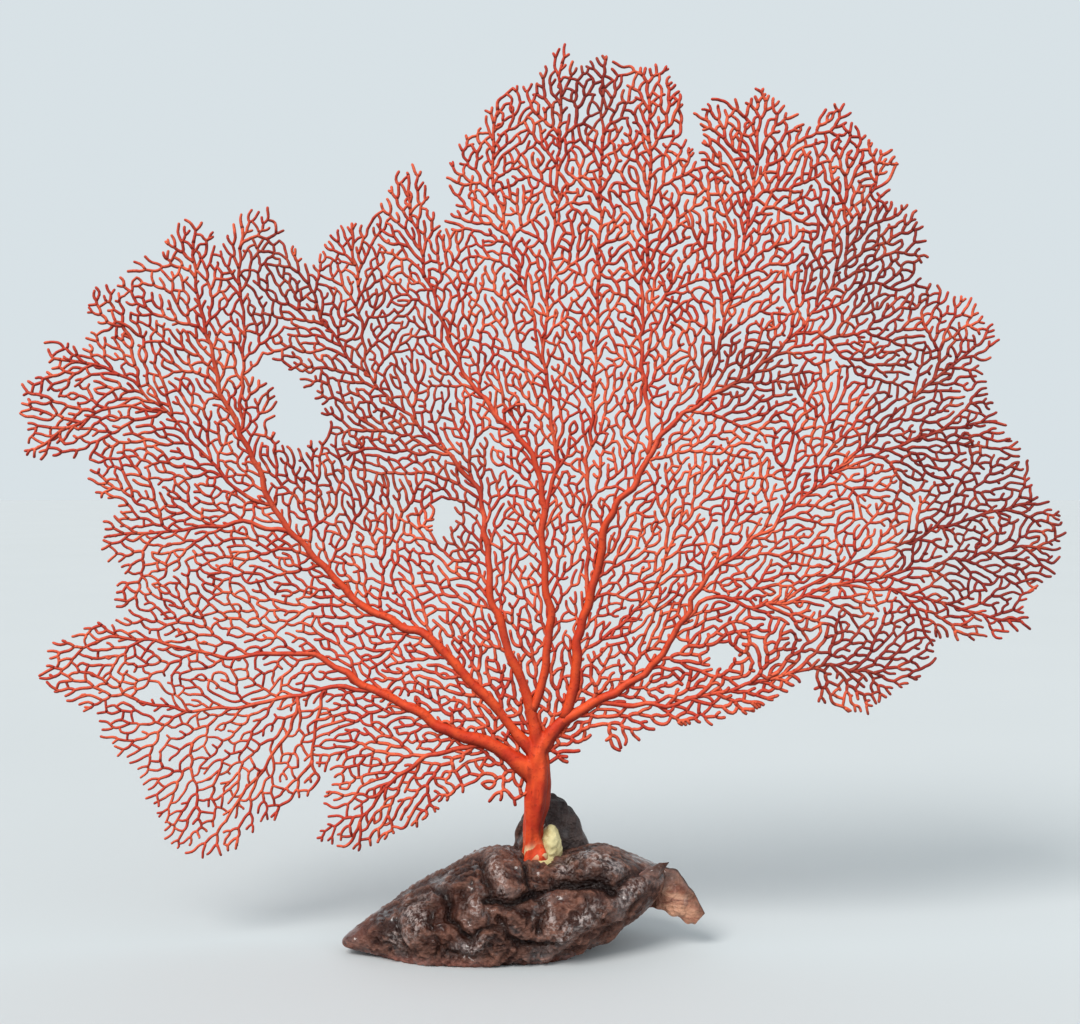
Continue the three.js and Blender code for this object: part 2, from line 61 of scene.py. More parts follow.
# The fan's edge, clockwise from the left of the trunk, on a squared sheet: [column, row], rows downwards
OUTLINE = [
    [524, 800], [483, 799], [486, 778], [462, 787], [440, 802], [424, 820], [390, 836], [368, 850],
    [345, 852], [317, 842], [332, 815], [322, 800], [337, 782], [330, 764], [312, 790], [278, 814],
    [240, 838], [231, 851], [199, 853], [174, 843], [168, 816], [153, 797], [139, 762], [110, 734],
    [101, 708], [68, 695], [50, 674], [60, 644], [102, 621], [134, 617], [117, 600], [124, 570],
    [108, 548], [106, 520], [126, 506], [103, 494], [92, 477], [104, 456], [34, 457], [30, 425],
    [27, 388], [62, 366], [44, 346], [64, 338], [88, 358], [92, 332], [112, 338], [94, 316],
    [93, 293], [117, 286], [130, 262], [160, 256], [176, 226], [192, 216], [207, 230], [212, 256],
    [222, 238], [234, 211], [262, 204], [282, 239], [308, 265], [318, 245], [342, 211], [362, 222],
    [382, 196], [394, 165], [415, 160], [428, 196], [440, 234], [454, 198], [445, 172], [460, 140],
    [485, 114], [495, 91], [518, 79], [535, 84], [550, 62], [560, 41], [578, 66], [600, 54],
    [618, 62], [638, 67], [664, 69], [681, 98], [683, 140], [697, 166], [706, 142], [698, 115],
    [714, 97], [742, 105], [762, 90], [795, 108], [798, 124], [820, 117], [836, 97], [856, 120],
    [878, 142], [904, 153], [886, 196], [918, 207], [934, 250], [918, 273], [976, 295], [1002, 330],
    [1004, 352], [986, 366], [1002, 402], [1014, 430], [1036, 460], [1042, 492], [1072, 522],
    [1066, 560], [1052, 582], [1024, 606], [1036, 626], [1002, 641], [958, 637], [938, 632],
    [936, 670], [906, 688], [860, 712], [840, 708], [815, 698], [808, 668], [790, 684], [758, 705],
    [710, 720], [660, 724], [614, 750], [600, 724], [584, 744], [560, 770], [547, 778], [551, 798],
]

# Gaps torn or never filled inside the fan
GAPS = [
    [[246, 372], [262, 352], [284, 366], [300, 382], [314, 388], [318, 402], [324, 424], [318, 440],
     [300, 450], [280, 446], [266, 432], [274, 408], [270, 386], [256, 380]],
    [[434, 500], [446, 496], [454, 512], [450, 532], [440, 544], [430, 536]],
    [[144, 684], [160, 680], [166, 694], [150, 700]],
    [[704, 650], [722, 640], [736, 648], [728, 666], [708, 668]],
]

# The limbs in order of growth: name, parent, radius at the root and at the tip, taper, course
LIMBS = [
    ("trunk", None, 5.6, 4.2, 1,
     [[539, 800], [539, 784], [539, 768], [538, 752]]),
    ("left_limb", "trunk", 4.2, 0.8, 2,
     [[538, 780], [510, 754], [484, 740], [458, 734], [432, 724], [404, 704], [372, 690],
      [350, 678], [322, 660], [282, 653], [236, 660], [186, 650], [140, 636], [100, 640]]),
    ("left_middle_limb", "left_limb", 1.3, 0.75, 1,
     [[376, 692], [336, 687], [290, 699], [248, 706], [190, 713], [140, 700]]),
    ("left_hanging_limb", "left_middle_limb", 1, 0.7, 1,
     [[324, 690], [317, 712], [313, 740], [306, 774]]),
    ("left_drooping_limb", "left_middle_limb", 1.1, 0.7, 1,
     [[296, 697], [291, 728], [276, 752], [250, 784], [226, 822]]),
    ("left_low_limb", "left_limb", 1.6, 0.75, 1,
     [[488, 742], [452, 750], [420, 760], [394, 776], [374, 800], [352, 836]]),
    ("upper_left_limb", "trunk", 2.7, 0.75, 1,
     [[538, 758], [512, 728], [494, 704], [470, 681], [450, 655], [428, 637], [398, 626],
      [368, 611], [344, 594], [316, 559], [284, 532], [266, 505], [258, 474], [238, 436], [224, 404],
      [206, 350], [192, 280], [190, 240]]),
    ("left_side_limb", "upper_left_limb", 1.4, 0.7, 1,
     [[288, 535], [246, 520], [200, 528], [150, 534], [114, 534]]),
    ("far_left_limb", "upper_left_limb", 1.1, 0.7, 1,
     [[268, 508], [233, 491], [208, 464], [180, 430], [150, 394], [110, 366], [66, 360]]),
    ("left_edge_limb", "far_left_limb", 0.9, 0.65, 1,
     [[166, 412], [124, 404], [82, 420], [42, 448]]),
    ("left_crest_limb", "upper_left_limb", 1.1, 0.7, 1,
     [[236, 430], [238, 384], [240, 352], [240, 316], [234, 270], [238, 224]]),
    ("inner_left_limb", "trunk", 3, 0.7, 1.8,
     [[538, 758], [536, 730], [530, 706], [522, 680], [508, 650], [496, 616], [488, 580], [485, 540],
      [483, 500], [462, 470], [430, 436], [390, 400], [340, 350], [310, 300]]),
    ("left_peak_limb", "inner_left_limb", 0.9, 0.65, 1,
     [[364, 374], [356, 320], [352, 266], [346, 216]]),
    ("centre_limb", "inner_left_limb", 2.4, 0.7, 1.3,
     [[531, 712], [541, 690], [546, 660], [551, 628], [550, 600], [542, 556], [545, 510],
      [541, 474], [522, 438], [496, 412], [466, 376], [444, 330], [424, 270], [408, 200], [404, 168]]),
    ("centre_top_limb", "centre_limb", 1.2, 0.65, 1,
     [[545, 516], [555, 480], [556, 440], [548, 396], [544, 350], [548, 290], [556, 210],
      [560, 120], [562, 60]]),
    ("upper_centre_limb", "centre_top_limb", 0.9, 0.65, 1,
     [[544, 362], [530, 306], [510, 240], [490, 170], [496, 104]]),
    ("right_limb", "trunk", 3.4, 0.75, 3,
     [[538, 756], [556, 724], [582, 710], [612, 692], [642, 675], [662, 654], [674, 632],
      [684, 612], [694, 590], [716, 562], [752, 540], [790, 510], [836, 470], [882, 430], [930, 386],
      [980, 346]]),
    ("right_shoulder_limb", "right_limb", 0.9, 0.65, 1,
     [[830, 475], [884, 452], [940, 430], [1004, 420]]),
    ("inner_right_limb", "right_limb", 2.9, 0.7, 1.8,
     [[564, 718], [573, 692], [576, 664], [578, 640], [585, 612], [596, 576], [602, 538],
      [612, 508], [634, 486], [648, 456], [668, 426], [696, 404], [740, 380], [786, 346], [826, 300],
      [856, 240], [880, 170]]),
    ("inner_right_spur", "inner_right_limb", 1.1, 0.7, 1,
     [[577, 660], [600, 638], [628, 618], [654, 586], [672, 540]]),
    ("top_centre_limb", "inner_right_limb", 1.2, 0.65, 1,
     [[588, 602], [588, 556], [586, 510], [590, 440], [596, 360], [598, 280], [600, 190], [604, 90]]),
    ("top_right_limb", "inner_right_limb", 1.3, 0.65, 1,
     [[648, 456], [648, 412], [641, 370], [640, 320], [646, 260], [650, 190], [650, 100]]),
    ("right_crest_limb", "inner_right_limb", 1.1, 0.65, 1,
     [[696, 404], [716, 350], [732, 290], [748, 220], [760, 130]]),
    ("outer_right_limb", "right_limb", 1.2, 0.7, 1,
     [[680, 620], [700, 598], [722, 595], [746, 605], [776, 604], [812, 591], [850, 582],
      [900, 574], [950, 563], [1000, 552], [1050, 548]]),
    ("right_edge_limb", "outer_right_limb", 0.9, 0.65, 1,
     [[836, 585], [890, 590], [946, 604], [996, 620], [1030, 624]]),
    ("far_right_limb", "outer_right_limb", 1, 0.65, 1,
     [[770, 605], [820, 578], [870, 556], [924, 536], [980, 516], [1044, 504]]),
    ("right_low_limb", "right_limb", 1.4, 0.7, 1,
     [[596, 702], [634, 706], [668, 704], [704, 694], [746, 683], [782, 672], [812, 664],
      [846, 668], [884, 676]]),
]
LIMB_NAMES = [limb[0] for limb in LIMBS]

# The trunk from its foot in the putty to the fork: [column, row, radius]
STEM = [
    [538, 868, 7], [537, 860, 6.8], [536, 852, 6], [535, 845, 4.9], [533, 836, 4.1], [533, 826, 4],
    [535, 814, 4.6], [537, 800, 5.3], [539, 784, 5.2], [539, 768, 4.8], [538, 752, 4.2], [537, 738, 2.4],
]

# How the lace of twigs grows, in millimetres and radians
STEP = 1.25
AHEAD = 3.0
BESIDE = 2.85
TIPS_APART = 1.6
YOUNG = 2
YOUNG_AHEAD = 1.2
FORK_EVERY = (3, 6)
FORK_ANGLE = (0.7, 1.05)
GIVE_WAY = (0.2, 0.45)
LIMB_PULL = 0.2
FLOW_SOFTNESS = 10
WANDER = 0.13
CELL = 4.4
ROOM = 3.5
EDGE_PLAY = (-2.6, 1.6)
BUD_AHEAD = 2.2
BUD_BESIDE = 2.5
BUDS_APART = 3.0
LINK_SHARE = 0.75
LINK_REACH = 4.0
LINK_FACING = 0.4
EDGE_MARGIN = 3.5

# The fork of the trunk, [x, z] in millimetres
FORK = (0, 84)


def on_sheet(squares):
    """Squares of the drawn sheet as [x, z] in millimetres: x to the right, z up from the table."""
    squares = np.asarray(squares, float)
    return np.stack([(squares[:, 0] - SHEET_COLUMN) * SQUARE, (SHEET_ROW - squares[:, 1]) * SQUARE], 1)


def unit(vectors):
    """Vectors divided by their lengths."""
    return vectors / (np.linalg.norm(vectors, axis=-1, keepdims=True) + 1e-12)


def smoothstep(value, low, high):
    """0 below low, 1 above high, and three squares minus two cubes of the share between."""
    share = np.clip((value - low) / (high - low), 0, 1)
    return share * share * (3 - 2 * share)


def bell(value, middle, width):
    """1 at the middle, falling off as the exponential of minus the squared distance in widths."""
    return np.exp(-((value - middle) / width) ** 2)


def summed(numbers, values, count):
    """The sum of the rows of values that share a number."""
    return np.stack([np.bincount(numbers, column, count) for column in values.T], 1)


def turned(ways, angles):
    """Plane vectors turned by an angle each: the rotation matrix written out."""
    cosine, sine = np.cos(angles), np.sin(angles)
    return np.stack([cosine * ways[:, 0] - sine * ways[:, 1], sine * ways[:, 0] + cosine * ways[:, 1]], 1)


def mottle(points, size, seed, waves=9):
    """Smooth random field: the mean of sine waves of about one size that run in random directions."""
    rng = np.random.default_rng(seed)
    runs = unit(rng.normal(size=(waves, points.shape[1]))) * rng.uniform(0.6, 1.5, (waves, 1))
    phases = rng.uniform(0, 2 * np.pi, waves)
    return np.sin(points @ runs.T * (2 * np.pi / size) + phases).sum(1) / np.sqrt(waves)


def sheet_depth(x, z):
    """How far the fan's sheet stands back: a wave across, a lean and a ripple, none of it near the fork."""
    share = smoothstep(np.hypot(x, z - FORK[1]), 25, 120)
    return share * (8 * np.cos((x + 75) / 45) + 0.03 * (z - 100) + 1.2 * np.sin(x / 17 + z / 23))


def rounded(line):
    """A bent line with its corners cut twice, at a quarter and three quarters of each stretch."""
    for _ in range(2):
        cut = np.stack([0.75 * line[:-1] + 0.25 * line[1:], 0.25 * line[:-1] + 0.75 * line[1:]], 1)
        line = np.concatenate([line[:1], cut.reshape(-1, line.shape[1]), line[-1:]])
    return line


def smooth_course(course):
    """A course of the sheet, rounded, with its points spaced evenly."""
    line = rounded(on_sheet(course))
    along = np.concatenate([[0], np.cumsum(np.hypot(*np.diff(line, axis=0).T))])
    want = np.linspace(0, along[-1], int(along[-1] / SEED_STEP + 0.5) + 1)
    return np.stack([np.interp(want, along, line[:, k]) for k in (0, 1)], 1)


def inside(points, loop):
    """True where a line to the left of a point crosses the loop an odd number of times."""
    odd = np.zeros(len(points), bool)
    for (ax, az), (bx, bz) in zip(loop, np.roll(loop, -1, 0)):
        if az != bz:
            crosses = (az > points[:, 1]) != (bz > points[:, 1])
            odd ^= crosses & (points[:, 0] < ax + (points[:, 1] - az) * (bx - ax) / (bz - az))
    return odd


EDGE = on_sheet(OUTLINE)
HOLES = [on_sheet(gap) for gap in GAPS]


def in_fan(points):
    """True inside the fan's edge and outside its gaps."""
    clear = inside(points, EDGE)
    for hole in HOLES:
        clear &= ~inside(points, hole)
    return clear


def neighbours(first, second):
    """Pairs of a first and a second point that lie in the same or in touching squares of a net."""
    def square(points):
        """The number of the square that a point lies in."""
        cells = np.floor(points / CELL).astype(int) + 2048
        return cells[:, 0] * 8192 + cells[:, 1]
    order = np.argsort(square(second), kind="stable")
    ranked, wanted = square(second)[order], square(first)
    lefts, rights = [], []
    for shift in (-8193, -8192, -8191, -1, 0, 1, 8191, 8192, 8193):
        low = np.searchsorted(ranked, wanted + shift)
        count = np.searchsorted(ranked, wanted + shift, "right") - low
        run = np.arange(count.sum()) - np.repeat(np.cumsum(count) - count, count)
        lefts.append(np.repeat(np.arange(len(first)), count))
        rights.append(order[np.repeat(low, count) + run])
    return np.concatenate(lefts), np.concatenate(rights)


def openness(places):
    """How far apart the twigs stand, as a share of their usual distance: more in the low left of the fan."""
    return 1 + 0.22 * np.exp(-((places[:, 0] + 135) / 60) ** 2 - ((places[:, 1] - 85) / 55) ** 2)


def crowded(places, ways, taken, beside, grown):
    """True where a taken point lies ahead within a cone, or beside a shoot that is clear of its fork."""
    i, j = neighbours(places, taken)
    gap = taken[j] - places[i]
    distance = np.hypot(gap[:, 0], gap[:, 1]) / openness(places)[i] + 1e-9
    facing = (unit(gap) * ways[i]).sum(1)
    hit = (distance < np.where(grown[i], AHEAD, YOUNG_AHEAD)) & (facing > 0.35)
    hit |= (distance < beside) & (facing > -0.15) & grown[i]
    return np.bincount(i[hit], minlength=len(places)) > 0


def spaced(places, distance):
    """Keeps a point unless an earlier one is nearer than the distance."""
    i, j = neighbours(places, places)
    near = (j < i) & (np.hypot(*(places[i] - places[j]).T) < distance)
    return np.bincount(i[near], minlength=len(places)) == 0


# Where the twigs are stouter or thinner than elsewhere: [x, z] of the middle, width, share added
STOUT_PATCHES = [
    ([0, 86], 34, 0.4), ([66, 104], 26, 0.28), ([100, 122], 22, 0.2), ([-60, 100], 40, 0.1),
    ([-140, 80], 60, -0.14), ([30, 320], 60, 0.1), ([110, 310], 55, 0.1),
]


class Growth:
    """The fan's skeleton as linked points: place in the plane, direction, parent, owning limb and height off
    the sheet."""

    def __init__(self):
        places, ways, parents, owners, bare, radii = [], [], [], [], [], []
        count = 0
        for k, (name, parent, thick, thin, taper, course) in enumerate(LIMBS):
            line = smooth_course(course)
            n = len(line)
            i = np.arange(n)
            sway = 0.8 * np.stack([mottle(line, 16, 81), mottle(line, 16, 82)], 1)
            line += sway * smoothstep(np.hypot(*(line - FORK).T), 16, 45)[:, None]
            places.append(line)
            ways.append(unit(line[np.minimum(i + 1, n - 1)] - line[np.maximum(i - 1, 0)]))
            parents.append(np.where(i > 0, count + i - 1, -1))
            rooted = parent is not None
            owners.append(np.where((i < CUT_STEPS) & rooted, LIMB_NAMES.index(parent or name), k))
            bare.append((np.abs(i - CUT_STEPS) <= 1) & rooted)
            radii.append(thin + (thick - thin) * (1 - i / (n - 1)) ** taper)
            count += n
        self.place, self.way = np.concatenate(places), np.concatenate(ways)
        self.parent, self.owner = np.concatenate(parents), np.concatenate(owners)
        self.bare, self.limb_radius = np.concatenate(bare), np.concatenate(radii)
        self.lift = np.zeros(count)
        self.limbs = count
        self.rng = np.random.default_rng(11)

    def children(self):
        """How many points follow each point."""
        return np.bincount(self.parent[self.parent >= 0], minlength=len(self.place))

    def flow(self, places):
        """The direction in which the limbs around a place run, each weighted by the inverse cube of its
        softened distance."""
        limbs, ways = self.place[:self.limbs], self.way[:self.limbs]
        square = (places[:, None, 0] - limbs[:, 0]) ** 2 + (places[:, None, 1] - limbs[:, 1]) ** 2
        return unit((square + FLOW_SOFTNESS ** 2) ** -1.5 @ ways)

    def add(self, tips, places, ways, lifts):
        """Appends one point to each tip and returns the new points' numbers."""
        first = len(self.place)
        self.place = np.concatenate([self.place, places])
        self.way = np.concatenate([self.way, ways])
        self.parent = np.concatenate([self.parent, tips])
        self.owner = np.concatenate([self.owner, self.owner[tips]])
        self.lift = np.concatenate([self.lift, lifts])
        self.bare = np.concatenate([self.bare, np.zeros(len(tips), bool)])
        return np.arange(first, len(self.place))

    def lace(self, tips, ways):
        """Each shoot steps on, turned a little by chance and by the limbs, and forks in two every few steps.
        It stops at the fan's edge and where it would crowd another twig."""
        rng = self.rng
        age = np.zeros(len(tips), int)
        span = rng.integers(*FORK_EVERY, len(tips))
        short = rng.uniform(*EDGE_PLAY, len(tips))
        for _ in range(90):
            ways = unit(ways + LIMB_PULL * self.flow(self.place[tips]) + rng.normal(0, WANDER, ways.shape))
            places = self.place[tips] + STEP * ways
            ok = in_fan(places + short[:, None] * ways)
            ok &= ~crowded(places, ways, self.place, BESIDE, age > YOUNG)
            age = age + 1
            tips, ways, places, age, span, short = (a[ok] for a in (tips, ways, places, age, span, short))
            if not len(tips):
                break
            ok = spaced(places, TIPS_APART) | (age <= YOUNG)
            tips, ways, places, age, span, short = (a[ok] for a in (tips, ways, places, age, span, short))
            lifts = 0.86 * self.lift[tips] + rng.normal(0, 0.22, len(tips))
            tips = self.add(tips, places, ways, lifts)
            fork = np.flatnonzero(age >= span)
            side = np.where(rng.random(len(fork)) < 0.5, 1.0, -1.0)
            second = turned(ways[fork], side * rng.uniform(*FORK_ANGLE, len(fork)))
            ways[fork] = turned(ways[fork], -side * rng.uniform(*GIVE_WAY, len(fork)))
            age[fork] = 0
            span[fork] = rng.integers(*FORK_EVERY, len(fork))
            tips = np.concatenate([tips, tips[fork]])
            ways = np.concatenate([ways, second])
            age = np.concatenate([age, np.zeros(len(fork), int)])
            span = np.concatenate([span, rng.integers(*FORK_EVERY, len(fork))])
            short = np.concatenate([short, rng.uniform(*EDGE_PLAY, len(fork))])

    def grow(self):
        """Shoots at the limbs' ends and on alternate sides along them, then shoots wherever room is left."""
        rng = self.rng
        ends = np.flatnonzero(self.children() == 0)
        along = np.setdiff1d(np.flatnonzero(~self.bare), ends)
        side = np.where(along % 2 == 0, 1.0, -1.0)
        ways = turned(self.way[along], side * rng.uniform(0.5, 0.8, len(along)))
        self.lace(np.concatenate([ends, along]), np.concatenate([self.way[ends], ways]))
        for _ in range(4):
            tips = np.flatnonzero((self.children() == 1) & ~self.bare)
            side = np.where(rng.random(len(tips)) < 0.5, 1.0, -1.0)
            ways = turned(self.way[tips], side * rng.uniform(0.5, 0.9, len(tips)))
            grown = np.ones(len(tips), bool)
            free = ~crowded(self.place[tips] + BUD_AHEAD * ways, ways, self.place, BUD_BESIDE, grown)
            tips, ways = tips[free], ways[free]
            free = spaced(self.place[tips], BUDS_APART)
            self.lace(tips[free], ways[free])
        self.trim()
        self.trim()
        for _ in range(5):
            self.part()
            self.ease(0.3)
        self.link()
        self.ease(0.5)

    def trim(self):
        """Takes off the twigs that stop one step past a fork."""
        children = self.children()
        stub = (children == 0) & (children[self.parent] > 1) & (np.arange(len(children)) >= self.limbs)
        keep = np.flatnonzero(~stub)
        number = np.full(len(stub) + 1, -1)
        number[keep] = np.arange(len(keep))
        self.parent = number[self.parent[keep]]
        self.place, self.way, self.owner = self.place[keep], self.way[keep], self.owner[keep]
        self.lift, self.bare = self.lift[keep], self.bare[keep]

    def link(self):
        """Lets some end twigs run on into the twig ahead of them, so that they close a mesh of the lace."""
        tips = np.flatnonzero((self.children() == 0) & (np.arange(len(self.place)) >= self.limbs))
        clear = in_fan(self.place[tips] + EDGE_MARGIN * self.way[tips])
        tips = tips[(self.rng.random(len(tips)) < LINK_SHARE) & clear]
        i, j = neighbours(self.place[tips], self.place)
        gap = self.place[j] - self.place[tips[i]]
        distance = np.hypot(gap[:, 0], gap[:, 1]) + 1e-9
        facing = (gap * self.way[tips[i]]).sum(1) / distance
        ok = (distance < LINK_REACH) & (facing > LINK_FACING) & (j != tips[i])
        i, j, distance, gap = i[ok], j[ok], distance[ok], gap[ok]
        order = np.lexsort((distance, i))
        i, j, gap = i[order], j[order], gap[order]
        first = np.concatenate([[True], i[1:] != i[:-1]])
        self.add(tips[i[first]], self.place[j[first]], unit(gap[first]), self.lift[j[first]])

    def part(self):
        """Pushes apart twig points that are close but not next to each other along a twig, which evens the
        meshes."""
        parent = self.parent
        i, j = neighbours(self.place, self.place)
        apart = (i >= self.limbs) & (i != j) & (parent[i] != j) & (parent[j] != i) & (parent[i] != parent[j])
        apart &= (parent[parent[i]] != j) & (parent[parent[j]] != i)
        i, j = i[apart], j[apart]
        gap = self.place[i] - self.place[j]
        distance = np.hypot(gap[:, 0], gap[:, 1]) + 1e-9
        push = np.maximum(ROOM * openness(self.place)[i] - distance, 0) / distance * 0.16
        moved = self.place + summed(i, push[:, None] * gap, len(self.place))
        stays = in_fan(moved)
        self.place[stays] = moved[stays]

    def ease(self, share):
        """Moves each twig point towards the mean of the points that it is linked to, which rounds forks."""
        child = np.arange(self.limbs, len(self.place))
        total, links = np.zeros_like(self.place), self.children().astype(float)
        np.add.at(total, self.parent[child], self.place[child])
        links[:self.limbs] = 1
        total[child] += self.place[self.parent[child]]
        links[child] += 1
        inner = child[links[child] > 1]
        self.place[inner] += share * (total[inner] / links[inner, None] - self.place[inner])

    def radii(self):
        """Limbs as drawn. A twig thickens with the logarithm of how many points it carries."""
        carried = np.ones(len(self.place))
        level = np.flatnonzero(self.parent < 0)
        levels = []
        order = np.argsort(self.parent, kind="stable")
        starts = np.searchsorted(self.parent[order], np.arange(len(self.place)))
        count = self.children()
        while len(level):
            levels.append(level)
            n = count[level]
            run = np.arange(n.sum()) - np.repeat(np.cumsum(n) - n, n)
            level = order[np.repeat(starts[level], n) + run]
        for level in levels[:0:-1]:
            np.add.at(carried, self.parent[level], carried[level])
        radius = np.minimum(0.61 + 0.022 * np.log2(carried), 0.84)
        for (x, z), width, more in STOUT_PATCHES:
            away = (self.place[:, 0] - x) ** 2 + (self.place[:, 1] - z) ** 2
            radius *= 1 + more * np.exp(-away / width ** 2)
        radius[:self.limbs] = np.maximum(0.9 * self.limb_radius - 0.1, 0.7)
        return radius

    def points(self):
        """The skeleton in space: the plane place, set back by the sheet's wave and the twig's own lift."""
        x, z = self.place.T
        return np.stack([x, sheet_depth(x, z) + self.lift, z], 1)


def ring_fan(sides):
    """The quads that close a ring with an even number of sides: a strip folded out from its first corner."""
    k = np.arange(sides // 2 - 1)
    return np.stack([0 * k, 2 * k + 1, 2 * k + 2, 2 * k + 3], 1)


def rings(centres, along, radius, sides):
    """Rings of points about centres: the radius times the sum of a cosine times a side vector and a sine
    times an up vector."""
    side = unit(np.stack([-along[:, 2], np.zeros(len(along)), along[:, 0]], 1))
    up = np.cross(along, side)
    angle = 2 * np.pi * np.arange(sides) / sides
    spoke = np.cos(angle)[:, None] * side[:, None] + np.sin(angle)[:, None] * up[:, None]
    return centres[:, None] + radius[:, None, None] * spoke


def branch_tubes(points, parent, radius, chosen, straight, sides, flare, owner):
    """Tubes along the chosen links from parent to point: a ring at each point, across the mean of the ways in
    and out. A link that runs straight on shares its parent's ring, and any other starts in a flared ring of
    its own, inside its parent. Ends are closed, also where the owner changes, and free tips are rounded.
    Returns points, quads, radii and each quad's owner."""
    into = np.zeros_like(points)
    into[chosen] = unit(points[chosen] - points[parent[chosen]])
    follows = chosen[straight]
    way = into.copy()
    np.add.at(way, parent[follows], into[follows])
    way = unit(way)
    ring_of = np.full(len(points), -1)
    base = np.unique(np.concatenate([chosen, parent[follows]]))
    ring_of[base] = np.arange(len(base))
    branch = chosen[~straight]
    body = rings(points[base], way[base], radius[base], sides)
    root_radius = flare * radius[branch]
    roots = rings(points[parent[branch]], into[branch], root_radius, sides)
    free = np.setdiff1d(chosen, parent[follows])
    ends = rings(points[free] + 0.75 * radius[free, None] * way[free], way[free], 0.6 * radius[free], sides)
    cut = follows[owner[follows] != owner[parent[follows]]]
    seams = body[ring_of[parent[cut]]]
    vertices = np.concatenate([body, roots, ends, seams, seams]).reshape(-1, 3)
    seam_radius = radius[parent[cut]]
    girth = np.concatenate([radius[base], root_radius, radius[free], seam_radius, seam_radius])
    girth = np.repeat(girth, sides)
    first_root, first_end = len(base), len(base) + len(branch)
    first_seam = first_end + len(free) + np.arange(len(cut))
    start = np.concatenate([ring_of[parent[follows]], first_root + np.arange(len(branch)), ring_of[free]])
    stop = np.concatenate([ring_of[follows], ring_of[branch], first_end + np.arange(len(free))])
    link = np.concatenate([follows, branch, free])
    k = np.arange(sides)
    turn = np.stack([k, (k + 1) % sides], 1)
    near, far = start[:, None, None] * sides + turn, stop[:, None, None] * sides + turn
    walls = np.concatenate([near, far[..., ::-1]], 2).reshape(-1, 4)
    fore = np.concatenate([first_end + np.arange(len(free)), first_seam])
    back = np.concatenate([first_root + np.arange(len(branch)), first_seam + len(cut)])
    fan = ring_fan(sides)
    lids = (fore[:, None, None] * sides + fan).reshape(-1, 4)
    plugs = (back[:, None, None] * sides + fan[:, ::-1]).reshape(-1, 4)
    closed = np.concatenate([free, parent[cut], branch, cut])
    whose = owner[np.concatenate([np.repeat(link, sides), np.repeat(closed, len(fan))])]
    return vertices, np.concatenate([walls, lids, plugs]), girth, whose


def closed_grid(rows, columns):
    """Faces of a grid that closes around its columns, between a pole before its first row and one after its
    last. The poles are the two points after the grid."""
    i, j = np.meshgrid(np.arange(rows - 1), np.arange(columns), indexing="ij")
    start, right = i * columns, (j + 1) % columns
    stop = start + columns
    quads = np.stack([start + j, start + right, stop + right, stop + j], -1)
    k = np.arange(columns)
    low, high = rows * columns, rows * columns + 1
    top = (rows - 1) * columns
    starts = np.stack([np.full(columns, low), (k + 1) % columns, k], 1)
    ends = np.stack([np.full(columns, high), top + k, top + (k + 1) % columns], 1)
    return quads.reshape(-1, 4), np.concatenate([starts, ends])


def make_piece(name, points, quads, triangles, finish, slot, nodes, **attributes):
    """A piece of the object that stands for its nodes, with a value of each attribute at every point."""
    mesh = bpy.data.meshes.new(name)
    fill_mesh(mesh, points, quads, triangles)
    for key, values in attributes.items():
        mesh.attributes.new(key, "FLOAT", "POINT").data.foreach_set("value", values.astype(np.float32))
    mesh.materials.append(finish)
    piece = bpy.data.objects.new(name, mesh)
    bpy.context.collection.objects.link(piece)
    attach(piece, "root")
    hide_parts(*nodes)


NO_TRIANGLES = np.zeros((0, 3), int)


class Signal:
    """A shader socket that arithmetic can be written on. Each operation adds a Math node."""

    def __init__(self, finish, socket):
        self.finish, self.socket = finish, socket

    def _math(self, operation, *values):
        """A Math node on these values."""
        return self.finish.node("ShaderNodeMath", {"operation": operation}, dict(enumerate(values)))

    def __add__(self, other):
        return self._math("ADD", self, other)

    def __sub__(self, other):
        return self._math("SUBTRACT", self, other)

    def __rsub__(self, other):
        return self._math("SUBTRACT", other, self)

    def __mul__(self, other):
        return self._math("MULTIPLY", self, other)

    def __truediv__(self, other):
        return self._math("DIVIDE", self, other)

    def __pow__(self, other):
        return self._math("POWER", self, other)

    __radd__, __rmul__ = __add__, __mul__

    def between(self, low, high):
        """0 below low, 1 above high, and a smooth step from one to the other."""
        return self.finish.node("ShaderNodeMapRange", {"interpolation_type": "SMOOTHSTEP"},
                                {0: self, 1: low, 2: high})


